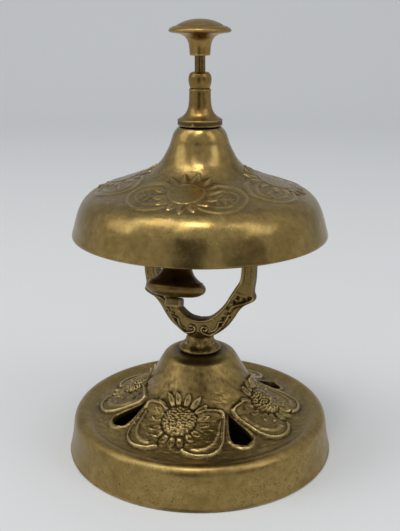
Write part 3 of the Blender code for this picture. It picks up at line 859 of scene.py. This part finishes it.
def make_neck():
    top = below(NECK_Z1, [(2.0, 0.15), (2.1, 0.03)])
    ball = smooth_line(below(NECK_Z1, [(2.3, 0.0), (2.85, 0.17), (3.35, 0.65), (3.66, 1.4), (3.79, 2.3),
                                       (3.73, 3.3), (3.52, 4.3), (3.26, 5.1)]), 4)
    groove = joined([(3.16, NECK_Z1 - 5.3)], arc(3.28, 127.55, 0.38, 70.0, -40.0, 6))
    waist = smooth_line([(3.54, 127.1), (3.58, 125.4), (3.66, 123.8), (3.9, 122.0), (4.3, 120.9),
                         (5.0, 119.8), (6.0, 118.9), (6.9, 118.35)], 6)
    flange = [(7.25, 118.15), (NECK_R, 117.95), (NECK_R, NECK_Z0 + 0.15), (NECK_R - 0.15, NECK_Z0)]
    stem_r, stem_top = 3.3, 119.6
    spring_r, spring_top = 2.6, 131.2
    bore = [(stem_r, NECK_Z0), (stem_r, stem_top), (spring_r, stem_top), (spring_r, spring_top),
            (2.0, spring_top + 0.4)]
    piece = turned_ring("neck", joined(top, ball, groove, waist, flange, bore), 128)
    # Darker on the flange and in the groove under the ball.
    set_recess_by_height(piece, lambda z: 0.75 * (1 - step_up(z, 117.9, 118.5)) + 0.5 * hump(z - 128.0, 0.3))
    finish(piece, "frame", "neck_brass", "neck_nut")


def make_knob():
    dome = smooth_line(below(KNOB_Z1, [(0.0, 0.0), (2.4, 0.16), (4.6, 0.65), (6.4, 1.35), (7.3, 1.85)]), 6)
    lip = smooth_line(below(KNOB_Z1, [(7.55, 2.15), (8.1, 2.2), (9.0, 2.55), (9.7, 3.0), (KNOB_R, 3.6),
                                      (9.8, 4.15), (8.8, 4.4)]), 5)
    under = smooth_line(below(KNOB_Z1, [(7.2, 4.6), (5.8, 5.0), (4.6, 5.9), (3.9, 7.1), (3.5, 8.8)])
                        + [(3.35, KNOB_Z0 + 0.15)], 6)
    hole_r, hole_top = 1.95, 145.4
    hole = [(3.2, KNOB_Z0), (hole_r + 0.1, KNOB_Z0), (hole_r, KNOB_Z0 + 0.1), (hole_r, hole_top),
            (0.0, hole_top)]
    piece = turned_solid("knob", joined(dome, lip, under, hole), 128)
    finish(piece, "plunger", "knob_brass", "push_knob")


def make_rod():
    thin, shoulder = 1.2, 130.0
    tip = [(thin * math.cos(a), ROD_TIP + thin * (1 - math.sin(a))) for a in np.linspace(0, math.pi / 2, 7)]
    line = joined([(0.0, ROD_TOP), (ROD_R - 0.2, ROD_TOP), (ROD_R, ROD_TOP - 0.2)],
                  [(ROD_R, z) for z in np.linspace(144.0, shoulder + 0.2, 30)],
                  [(ROD_R - 0.15, shoulder), (thin, shoulder)],
                  [(thin, z) for z in (126.0, 118.0, 108.0, 99.0)],
                  tip[:-1], [(0.0, ROD_TIP)])
    finish(turned_solid("rod", line, 48), "plunger", "rod_brass", "plunger_rod")


# --- yoke ---

YOKE_T = 4.4  # thickness of the casting, without its relief
KNEE_Z = 61.0  # height of the knees, where the carved lobe gives way to the grooved arms
PLAIN_Z = 88.0  # height above which the arms are plain, inside the bell
# Matching shares of the harp's outer and inner lines, so that its sections cross it squarely
HARP_SHARES = np.array([(0.0, 0.0), (0.16, 0.13), (0.40, 0.36), (0.47, 0.46), (0.70, 0.68), (1.0, 1.0)])


def harp_lines(count):
    """Matching outer and inner lines of the harp's right half, from the foot round to the hub."""
    lobe = smooth_line([(0.0, 41.4), (3.4, 41.6), (6.0, 42.9), (8.6, 44.8), (10.8, 46.9), (12.5, 49.3),
                        (14.2, 52.2), (16.2, 54.6), (18.6, 56.1), (20.1, 57.0)], 10)
    arm = smooth_line([(20.15, 57.9), (19.6, 59.6), (19.7, 61.4), (20.05, 64.0), (ARM_OUT - 0.15, 69.0),
                       (ARM_OUT - 0.15, 84.0), (18.6, 90.6), (14.4, 96.2), (8.0, 100.4), (0.0, 102.4)], 10)
    inner = smooth_line([(0.0, 48.2), (3.4, 48.9), (6.4, 51.2), (9.4, 54.8), (11.4, 58.2), (13.2, 61.2),
                         (14.7, 63.8), (15.3, 67.5), (15.3, 73.0), (15.3, 80.0), (14.4, 85.8), (11.2, 91.4),
                         (6.0, 96.0), (0.0, 98.4)], 10)
    found = []
    for line, shares in zip((joined(lobe, arm), inner), HARP_SHARES.T):
        s = lengths_along(line)
        share = np.interp(np.linspace(0, 1, count), np.linspace(0, 1, len(shares)), shares)
        found.append(points_at(share * s[-1], s, line))
    return found


def spiral(centre, start_r, turns, start_deg, way, count=24):
    """A volute that winds in to its centre."""
    t = np.linspace(0, 1, count)
    angle = math.radians(start_deg) + way * TAU * turns * t
    radius = start_r * (1 - 0.78 * t)
    return np.column_stack([centre[0] + radius * np.cos(angle), centre[1] + radius * np.sin(angle)])


STALK = [(3.6, 42.95), (5.0, 43.0), (6.8, 44.5), (8.7, 46.6), (10.2, 49.0), (11.3, 51.2)]
SCROLL = joined(spiral((2.45, 44.75), 1.45, 1.05, 250.0, -1)[::-1], smooth_line(STALK, 5))
HOOK = smooth_line([(9.6, 48.6), (8.7, 48.4), (7.7, 48.0), (7.3, 47.0), (7.0, 45.9), (6.1, 44.9),
                    (5.0, 44.4)], 5)
KNEE_LEAF = smooth_line([(11.6, 52.8), (12.7, 54.4), (14.4, 55.3), (16.4, 56.0), (18.4, 56.9),
                         (19.8, 57.9)], 5)
KNEE_FOLD = smooth_line([(13.6, 59.6), (15.2, 58.9), (17.0, 58.6), (18.8, 59.2), (19.8, 60.2)], 5)
LEAF_BUMPS = [(9.9, 51.0, 1.1), (11.2, 52.9, 1.0), (12.3, 55.3, 1.0), (9.0, 46.9, 0.9), (14.0, 57.0, 0.8)]
PITS = [(8.3, 47.3, 0.9), (9.1, 49.6, 0.7), (10.7, 53.6, 0.9), (13.1, 56.2, 0.9), (14.4, 57.8, 0.9),
        (16.6, 57.3, 1.1), (18.2, 58.1, 1.0), (11.5, 50.4, 0.6), (3.0, 45.2, 0.5)]


def harp_relief(x, z):
    """Scrolls, leaf bumps and the knee fold on the yoke's faces; the same on both halves."""
    u = np.abs(x)
    height = highest(0.62 * ridge(u, z, SCROLL, 0.62), 0.5 * ridge(u, z, HOOK, 0.55),
                     0.75 * ridge(u, z, KNEE_LEAF, 0.95), 0.16 * ridge(u, z, KNEE_FOLD, 0.9))
    for bump_u, bump_z, size in LEAF_BUMPS:
        height = highest(height, 0.4 * hump(np.hypot(u - bump_u, z - bump_z), size))
    for pit_u, pit_z, size in PITS:
        height = height - 0.42 * hump(np.hypot(u - pit_u, z - pit_z), size)
    return height


def harp_rows(line_pair):
    """Picks matching rows of both lines: close together on the lobe, wider apart on the arm."""
    outer, inner = line_pair
    s = lengths_along(outer)
    rows, at = [], 0.0
    while at < s[-1]:
        rows.append(at)
        at += 0.2 if np.interp(at, s, outer[:, 1]) < KNEE_Z else 0.7
    share = np.array(rows + [s[-1]])
    return [points_at(share, s, line) for line in (outer, inner)]


def harp_mesh():
    """Closed ring of pillowed sections that follows both halves of the harp, with its relief."""
    outer, inner = harp_rows(harp_lines(400))
    outer = np.vstack([outer, (outer * np.array([-1, 1]))[-2:0:-1]])
    inner = np.vstack([inner, (inner * np.array([-1, 1]))[-2:0:-1]])
    squareness = 0.3
    face = np.linspace(0.9, -0.9, 34)
    turn = np.arccos(np.sign(face) * np.abs(face) ** (1 / squareness))
    edge = np.linspace(turn[-1], TAU - turn[-1], 9)[1:-1]
    angle = np.concatenate([turn, edge, TAU - turn[::-1], TAU + np.linspace(-turn[0], turn[0], 9)[1:-1]])
    across = np.sign(np.cos(angle)) * np.abs(np.cos(angle)) ** squareness
    depth = np.sign(np.sin(angle)) * np.abs(np.sin(angle)) ** squareness
    middle, half = (outer + inner) / 2, (outer - inner) / 2
    x = middle[:, :1] + half[:, :1] * across
    z = middle[:, 1:] + half[:, 1:] * across
    width = np.hypot(half[:, 0], half[:, 1])[:, None]
    on_face = step_up(np.abs(depth), 0.75, 0.95) * step_up((1 - np.abs(across)) * width, 0.1, 0.5)
    border = 0.22 * hump((1 + across) * width - 0.75, 0.4)
    grooves = hump(np.abs(across) - 0.42, 0.16) + 0.6 * hump(across, 0.14)
    grooves = -0.15 * grooves * step_up(z, KNEE_Z, KNEE_Z + 3.0)
    carved = harp_relief(x, z) * (z < KNEE_Z + 1.0)
    relief = np.where(border > 0, np.maximum(carved, border), carved) + grooves
    relief = relief * on_face * (z <= PLAIN_Z)
    y = -depth * YOKE_T / 2 - np.sign(depth) * relief
    points = np.stack([x, np.broadcast_to(y, x.shape), z], -1).reshape(-1, 3) * MM
    # The recess it returns: painted shade on the casting's side faces, and a little darkening of its flat
    # faces, which the raised relief goes without.
    side = 0.6 * (1 - step_up(np.abs(depth), 0.55, 0.9)) + np.zeros(x.shape)
    return points, grid_faces(len(outer), len(angle), True), np.clip(side + 0.12 - relief * 1.5, 0, 1).ravel()


def make_yoke():
    verts, faces, relief_and_side_shade = harp_mesh()
    yoke = new_piece("harp", verts, faces)
    set_points(yoke, "recess", relief_and_side_shade)
    leaves = 9

    def leafed(r, z, angle):
        dent = hump(z - 39.4, 1.5) * (0.5 + 0.5 * np.cos(leaves * angle)) ** 0.7
        lump = hump(z - 37.9, 0.9) * (0.5 - 0.5 * np.cos(2 * leaves * angle))
        return r - 0.75 * dent + 0.22 * lump - 0.2 * hump(z - 37.9, 0.9)

    skirt = smooth_line([(4.3, 42.0), (4.8, 41.3), (5.15, 40.5), (5.6, 39.6), (6.3, 38.8), (7.1, 38.2)], 8)
    rim = arc(6.9, YOKE_Z0 + 0.75, 0.6, 60.0, -60.0, 8)
    foot = joined([(0.0, 44.3)], smooth_line([(1.3, 44.2), (2.3, 43.5), (3.2, 42.7)], 4), skirt, rim,
                  [(6.6, YOKE_Z0), (0.0, YOKE_Z0)])
    hub_r, hub_low = 6.0, STEM_Z0 - 0.3
    hub = turned_ring("hub", rounded([(hub_r, YOKE_Z1), (hub_r, hub_low), (STEM_R + HOLE, hub_low),
                                      (STEM_R + HOLE, YOKE_Z1)], 0.5), 97)
    for side in (-1, 1):
        combine(hub, "UNION", make_lug(side))
    foot = turned_solid("foot", foot, 127, leafed)
    set_recess_by_height(foot, lambda z: hump(z - 39.8, 3.0))
    combine(yoke, "UNION", foot)
    combine(yoke, "UNION", hub)
    drill(yoke, STEM_R + HOLE, 80.0, 110.0, columns=59)
    drill(yoke, SCREW_HOLE_R, 30.0, 43.3, columns=59)
    yoke.name = "yoke_casting"
    finish(yoke, "frame", "yoke_brass", "yoke")


def combine(obj, operation, other):
    """Joins a closed mesh to another, or takes it out of it, and removes it."""
    modifier = obj.modifiers.new("combine", "BOOLEAN")
    modifier.operation = operation
    modifier.object = other
    modifier.solver = "EXACT"
    depsgraph = bpy.context.evaluated_depsgraph_get()
    mesh = bpy.data.meshes.new_from_object(obj.evaluated_get(depsgraph))
    obj.modifiers.clear()
    obj.data = mesh
    mesh.shade_smooth()
    mesh.set_sharp_from_angle(angle=math.radians(45))
    bpy.data.objects.remove(other, do_unlink=True)


def from_bmesh(name, bm, place=Matrix()):
    """A new object from a bmesh, which is freed."""
    mesh = bpy.data.meshes.new(name)
    bm.to_mesh(mesh)
    bm.free()
    mesh.transform(place)
    return linked(name, mesh)


def block(name, size, middle_z, place, splay=1.0, bevel=0.0):
    """A box on the Z axis, splayed at its bottom and with rounded edges."""
    bm = bmesh.new()
    bmesh.ops.create_cube(bm, size=1.0)
    bmesh.ops.scale(bm, vec=[side * MM for side in size], verts=bm.verts)
    for vert in bm.verts:
        if vert.co.z < 0:
            vert.co.xy *= splay
    bmesh.ops.translate(bm, vec=(0, 0, middle_z * MM), verts=bm.verts)
    if bevel:
        bmesh.ops.bevel(bm, geom=bm.edges, offset=bevel * MM, segments=5, profile=0.5, affect="EDGES")
    return from_bmesh(name, bm, place)


def plate(name, outline, thickness, bevel=0.35, middle_x=0.0):
    """A flat plate in the YZ plane with rounded edges, from a closed (y, z) outline."""
    bm = bmesh.new()
    left = middle_x - thickness / 2
    face = bm.faces.new([bm.verts.new((left * MM, y * MM, z * MM)) for y, z in outline])
    pulled = bmesh.ops.extrude_face_region(bm, geom=[face])
    moved = [item for item in pulled["geom"] if isinstance(item, bmesh.types.BMVert)]
    bmesh.ops.translate(bm, vec=(thickness * MM, 0, 0), verts=moved)
    bmesh.ops.recalc_face_normals(bm, faces=bm.faces)
    edges = [e for e in bm.edges if abs(e.verts[0].co.x - e.verts[1].co.x) < 1e-7]
    bmesh.ops.bevel(bm, geom=edges, offset=bevel * MM, segments=3, profile=0.5, affect="EDGES")
    return from_bmesh(name, bm)


def ribbon(points, half_widths, steps=8):
    """Closed outline of a bar that follows a centre line, round at its ends."""
    line = smooth_line([(*p, w) for p, w in zip(points, half_widths)], steps)
    along = np.gradient(line[:, :2], axis=0)
    along /= np.hypot(along[:, 0], along[:, 1])[:, None]
    side = np.column_stack([-along[:, 1], along[:, 0]]) * line[:, 2:]
    turn = np.radians(np.linspace(90, -90, 9)[1:-1])[:, None]
    end = line[-1, :2] + side[-1] * np.sin(turn) + along[-1] * line[-1, 2] * np.cos(turn)
    start = line[0, :2] - side[0] * np.sin(turn) - along[0] * line[0, 2] * np.cos(turn)
    return np.vstack([line[:, :2] + side, end, (line[:, :2] - side)[::-1], start])


def pivot_place():
    return Matrix.Translation(PIVOT * MM) @ Matrix.Rotation(math.pi / 2, 4, "Y")


def drill(obj, radius, z0, z1, place=Matrix(), columns=48):
    """Cuts a round hole between two heights of a place's Z axis."""
    line = [(0.0, z1), (radius, z1), (radius, z0), (0.0, z0)]
    combine(obj, "DIFFERENCE", turned_solid("drill", line, columns, place=place))


def make_lug(side):
    outline = ribbon([(-3.4, 101.6), (-6.2, 96.6), (PIVOT.y, PIVOT.z)], [2.2, 2.6, 2.9])
    lug = plate(f"lug_{side}", outline, 2.0, 0.3, side * 3.3)
    drill(lug, PIN_R + HOLE, -8.0, 8.0, pivot_place())
    return lug


# --- hammer ---

def clapper_place():
    return Matrix.Translation(CLAPPER * MM) @ Matrix.Rotation(-CLAPPER_LEAN, 4, "X")


def on_clapper_axis(height):
    return (CLAPPER.y + height * math.sin(CLAPPER_LEAN), CLAPPER.z + height * math.cos(CLAPPER_LEAN))


def make_clapper():
    hole = PIN_R + HOLE
    neck = smooth_line([(4.1, 9.0), (4.35, 7.6), (4.9, 5.6), (5.9, 3.9), (7.4, 2.6), (8.6, 1.95)], 6)
    edge = arc(7.8, -0.05, 1.85, 58.0, -70.0, 14)
    under = smooth_line([(8.0, -2.15), (6.4, -2.7), (4.2, -2.95), (3.0, -3.0)], 4)
    section = joined([(hole, 9.0), (3.8, 9.0)], neck, edge, under, [(hole, -3.0)])
    piece = turned_ring("clapper_head", section, 128, place=clapper_place())
    finish(piece, "hammer", "clapper_brass", "clapper")
    end, head = 12.9, -3.6
    rows = [(PIN_R, z) for z in np.linspace(end - 0.2, head, 150)]
    shank = joined([(0.0, end), (PIN_R - 0.2, end)], rows, [(0.0, head)])
    screw = turned_solid("clapper_fastener", shank, 32, threaded(0.6, 0.16, -3.0, end, 1.0), clapper_place())
    combine(screw, "UNION", block("square_head", (5.0, 5.0, 3.0), -4.8, clapper_place(), 1.04, 0.75))
    set_points(screw, "recess", np.full(len(screw.data.vertices), 0.5))
    finish(screw, "hammer", "clapper_brass", "clapper_screw")


def make_lever():
    rise = math.atan2(STROKE / 2, -PIVOT.y)
    tail = [(PIVOT.y + d * math.cos(rise), PIVOT.z + d * math.sin(rise)) for d in (10.4, 5.6)]
    arm = [(PIVOT.y - 0.5, PIVOT.z), (-14.2, 90.2), (-18.2, 86.8), on_clapper_axis(14.5),
           on_clapper_axis(11.6)]
    lever = plate("hammer_casting", ribbon(tail + arm, [1.15, 1.2, 2.0, 2.0, 1.9, 1.8, 1.5]), 3.2, 0.5)
    boss = rounded([(3.05, 2.0), (3.05, -2.0), (PIN_R + HOLE, -2.0), (PIN_R + HOLE, 2.0)], 0.3)
    dome = smooth_line([(0.6, 15.3), (1.6, 14.6), (2.2, 13.0), (2.6, 11.2), (2.85, 9.9)], 5)
    post = joined([(0.0, 15.4)], dome,
                  [(2.85, 9.45), (2.7, 9.3), (1.45, 9.3), (1.45, 13.2), (0.0, 13.2)])
    drill(lever, PIN_R + HOLE + 0.02, -8.0, 8.0, pivot_place())
    combine(lever, "UNION", turned_ring("boss", boss, 64, place=pivot_place()))
    combine(lever, "UNION", turned_solid("post", post, 64, place=clapper_place()))
    finish(lever, "hammer", "lever_brass", "hammer_lever")


# --- stem and fasteners ---

def make_stem():
    bore = STEM_R / 2
    z = np.linspace(STEM_Z1, STEM_Z0, 180)
    section = joined([(bore, STEM_Z1), (STEM_R - 0.3, STEM_Z1)], np.column_stack([np.full(180, STEM_R), z]),
                     [(STEM_R - 0.3, STEM_Z0), (bore, STEM_Z0)])
    piece = turned_ring("stem_tube", section, 48, threaded(0.75, 0.28, STEM_Z0, STEM_Z1, 2.2))
    finish(piece, "frame", "fitting_brass", "guide_stem")


def make_hex_nut(name, node):
    bottom, top = low(node).z, high(node).z
    flats = high(node).x - low(node).x
    rows = [(flats / 2, z) for z in np.linspace(top, bottom, 13)]
    section = joined([(STEM_R + HOLE, top), (flats / 2 - 0.9, top)], rows,
                     [(flats / 2 - 0.9, bottom), (STEM_R + HOLE, bottom)])
    shape = hexagon(flats, 0.15, bottom, top)
    piece = turned_ring(name, section, 96, lambda r, z, a: shape(r, z, a + math.pi / 2))
    finish(piece, "frame", "fitting_brass", node)


def make_flat_ring(name, node, inner, body, slot, place=Matrix(), size=None, columns=64, gap_deg=0.0):
    """A washer, collar or clip, in its node's place or with a size of its own."""
    outer, z0, z1 = size or (high(node).x, low(node).z, high(node).z)
    section = rounded([(outer, z1), (outer, z0), (inner, z0), (inner, z1)], 0.18)
    finish(turned_ring(name, section, columns, None, place, gap_deg), body, slot, node)


def make_spring():
    """The coil round the rod, with closed end turns."""
    z0, z1 = low("return_spring").z, high("return_spring").z
    wire, coil_r = 0.27, 2.0
    turns, per_turn, around_wire = 6, 40, 10
    count = turns * per_turn + 1
    t = np.linspace(0, 1, count)
    rise = z0 + wire + (z1 - z0 - 2 * wire) * (t + 0.06 * np.sin(TAU * t))
    angle = TAU * turns * t
    centre = np.column_stack([coil_r * np.cos(angle), coil_r * np.sin(angle), rise])
    along = np.gradient(centre, axis=0)
    along /= np.linalg.norm(along, axis=1)[:, None]
    outward = np.column_stack([np.cos(angle), np.sin(angle), np.zeros(count)])
    upward = np.cross(along, outward)
    spin = angles_round(around_wire)[None, :, None]
    points = centre[:, None] + wire * (np.cos(spin) * outward[:, None] + np.sin(spin) * upward[:, None])
    faces = grid_faces(count, around_wire, False)
    faces.append(tuple(range(around_wire)))
    faces.append(tuple(range((count - 1) * around_wire, count * around_wire))[::-1])
    spring = new_piece("coil_spring", points.reshape(-1, 3) * MM, faces)
    finish(spring, "frame", "steel", "return_spring")
    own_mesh(spring)


def make_pin():
    line = [(0.0, PIN_HALF), (PIN_R - 0.3, PIN_HALF), (PIN_R, PIN_HALF - 0.3)]
    line += [(PIN_R, x) for x in (PIN_HALF - 1.0, 3.0, 0.0, -3.0, 1.0 - PIN_HALF)]
    line += [(PIN_R, 0.3 - PIN_HALF), (PIN_R - 0.3, -PIN_HALF), (0.0, -PIN_HALF)]
    pin = turned_solid("pivot_axle", line, 32, place=pivot_place())
    finish(pin, "frame", "steel", "pivot_pin")
    for name, node in (("axle_clip_right", "pin_clip_right"), ("axle_clip_left", "pin_clip_left")):
        size = (2.4, low(node).x, high(node).x)
        make_flat_ring(name, node, PIN_R + 0.1, "frame", "steel", pivot_place(), size, 48, 70.0)


def make_base_screw():
    z0, z1 = low("base_screw").z, high("base_screw").z
    head_top, head_r = z0 + 2.5, high("base_screw").x
    shank = joined([(0.0, z1), (1.2, z1), (1.7, z1 - 0.5)],
                   [(1.7, z) for z in np.linspace(z1 - 0.6, head_top, 90)])
    head = joined([(3.5, head_top), (head_r, head_top - 0.3)],
                  smooth_line([(head_r, head_top - 0.9), (3.55, z0 + 0.7), (2.8, z0 + 0.15), (1.6, z0)], 4))
    line = joined(shank, head, [(0.0, z0)])
    screw = turned_solid("base_bolt", line, 48, threaded(0.7, 0.22, head_top + 0.5, z1, 1.4))
    turn = Matrix.Rotation(math.radians(27), 4, "Z")
    combine(screw, "DIFFERENCE", block("slot_tool", (12, 0.9, 2.2), z0, turn))
    finish(screw, "frame", "steel", "base_screw")


# --- stage, light and camera ---

CAMERA_TURN, CAMERA_PITCH = 18.0, 17.05  # degrees, round from the front and down
CAMERA_PLACE = 0.27165, 0.15086  # metres, from the bell's axis and above the floor
CAMERA_LENS = 55.38
# The second grey is painted shade: the dark disc on the floor under the base.
PAPER, SHADE_DISC_GREY = (0.70, 0.71, 0.72), (0.02, 0.018, 0.015)
SOFTBOX_AIM, SOFTBOX_DISTANCE = Vector((0.0, 0.0, 0.08)), 1.2
SOFTBOXES = [  # name, azimuth, elevation, size in metres, radiance, colour
    ("overhead", 8.0, 72.0, (0.30, 0.26), 12.0, (1.0, 0.98, 0.93)),
    ("left", -60.0, 40.0, (0.60, 0.90), 1.25, (1, 1, 1)),
    ("left_strip", -6.0, 58.0, (0.13, 0.50), 3.2, (1, 1, 1)),
    ("left_high", -54.0, 66.0, (0.34, 0.30), 3.2, (1, 1, 1)),
    ("right", 78.0, 44.0, (0.42, 0.85), 1.5, (1, 1, 1)),
]
CARDS = [  # name, azimuth, where it starts and ends, height, width in metres, grey
    ("dark_card", 8.0, 0.34, 0.95, 0.60, 0.50, 0.04),
    ("grey_card", 58.0, 0.60, 0.95, 0.50, 0.60, 0.28),
]


def stage_sheet(name, verts, faces, colour, roughness=0.8, gloss=0.5):
    """A plain sheet that isn't part of the object."""
    mesh = bpy.data.meshes.new(name)
    mesh.from_pydata(verts, [], faces)
    material = bpy.data.materials.new(name)
    material.use_nodes = True
    shader = material.node_tree.nodes["Principled BSDF"]
    shader.inputs["Base Color"].default_value = (*colour, 1.0)
    shader.inputs["Roughness"].default_value = roughness
    shader.inputs["Specular IOR Level"].default_value = gloss
    mesh.materials.append(material)
    sheet = linked(name, mesh)
    return sheet


def around(azimuth_deg, distance, height):
    """A place at an azimuth from the front, a distance from the axis and a height, in metres."""
    a = math.radians(azimuth_deg)
    return Vector((math.sin(a) * distance, -math.cos(a) * distance, height))


def make_stage():
    """A pale floor that sweeps up behind the bell, in metres."""
    reach, flat, bend, sink = 3.0, 0.9, 0.6, 0.00005
    profile = [(-reach, 0.0), (flat, 0.0)]
    for a in np.linspace(0.1, math.pi / 2, 14):
        profile.append((flat + bend * math.sin(a), bend - bend * math.cos(a)))
    profile.append((flat + bend, reach))
    verts = [(x, y, z - sink) for y, z in profile for x in (-reach, reach)]
    faces = [(2 * i, 2 * i + 1, 2 * i + 3, 2 * i + 2) for i in range(len(profile) - 1)]
    floor = stage_sheet("sweep", verts, faces, PAPER, gloss=0.0)
    floor.data.shade_smooth()
    floor.rotation_euler.z = math.radians(CAMERA_TURN)


def make_shade_disc():
    """A dark disc on the floor under the base: painted shade, which makes its pierced slots look dark."""
    count = 96
    verts = [around(360.0 * k / count, (BASE_R - 3.5) * MM, 0.00002) for k in range(count)]
    stage_sheet("painted_shade_disc", verts, [tuple(range(count))], SHADE_DISC_GREY, 0.9)


def make_card(name, azimuth_deg, near, far, top, width, grey):
    """A card behind the camera, along the floor and up, that darkens what the brass reflects of the front."""
    verts = []
    for share, y, z in ((near / far, -near, 0.0005), (1.0, -far, 0.0005), (1.0, -far, top)):
        verts += [(-share * width / 2, y, z), (share * width / 2, y, z)]
    card = stage_sheet(name, verts, [(0, 2, 3, 1), (2, 4, 5, 3)], (grey, grey, grey))
    card.rotation_euler.z = math.radians(azimuth_deg)
    card.visible_camera = False
    card.visible_diffuse = False
    card.visible_shadow = False


def make_softbox(name, azimuth_deg, elevation_deg, size, radiance, colour):
    """A softbox aimed at the bell; radiance is how bright its face looks."""
    light = bpy.data.lights.new(name, "AREA")
    light.shape = "RECTANGLE"
    light.size, light.size_y = size
    light.energy = radiance * math.pi * size[0] * size[1]
    light.color = colour
    out = SOFTBOX_DISTANCE * math.cos(math.radians(elevation_deg))
    up = SOFTBOX_DISTANCE * math.sin(math.radians(elevation_deg))
    softbox = linked(name, light)
    softbox.location = around(azimuth_deg, out, SOFTBOX_AIM.z + up)
    softbox.rotation_euler = (SOFTBOX_AIM - softbox.location).to_track_quat("-Z", "Y").to_euler()


def make_light():
    world = bpy.data.worlds.new("studio")
    bpy.context.scene.world = world
    world.use_nodes = True
    background = world.node_tree.nodes["Background"]
    background.inputs["Color"].default_value = (0.965, 0.985, 1.0, 1.0)
    background.inputs["Strength"].default_value = 0.62
    for card in CARDS:
        make_card(*card)
    for softbox in SOFTBOXES:
        make_softbox(*softbox)
    bpy.context.scene.view_settings.view_transform = "Standard"


def make_camera():
    data = bpy.data.cameras.new("camera")
    data.sensor_width = 36.0
    data.lens = CAMERA_LENS
    camera = linked("camera", data)
    camera.location = around(CAMERA_TURN, *CAMERA_PLACE)
    camera.rotation_euler = (math.radians(90.0 - CAMERA_PITCH), 0.0, math.radians(CAMERA_TURN))
    bpy.context.scene.camera = camera


make_base()
make_bell()
make_neck()
make_knob()
make_rod()
make_yoke()
make_clapper()
make_lever()
make_stem()
make_hex_nut("lower_nut", "stem_lock_nut")
make_hex_nut("upper_nut", "bell_support_nut")
make_flat_ring("under_washer", "bell_washer", STEM_R + HOLE, "frame", "fitting_brass")
make_flat_ring("spring_ring", "spring_seat", 1.4, "plunger", "fitting_brass")
make_flat_ring("stop_ring", "stop_collar", 1.35, "plunger", "fitting_brass")
make_flat_ring("foot_washer", "base_washer", SCREW_HOLE_R, "frame", "steel")
make_flat_ring("foot_lock_washer", "base_lock_washer", SCREW_HOLE_R, "frame", "steel", gap_deg=14.0)
make_spring()
make_pin()
make_base_screw()
make_stage()
make_shade_disc()
make_light()
make_camera()
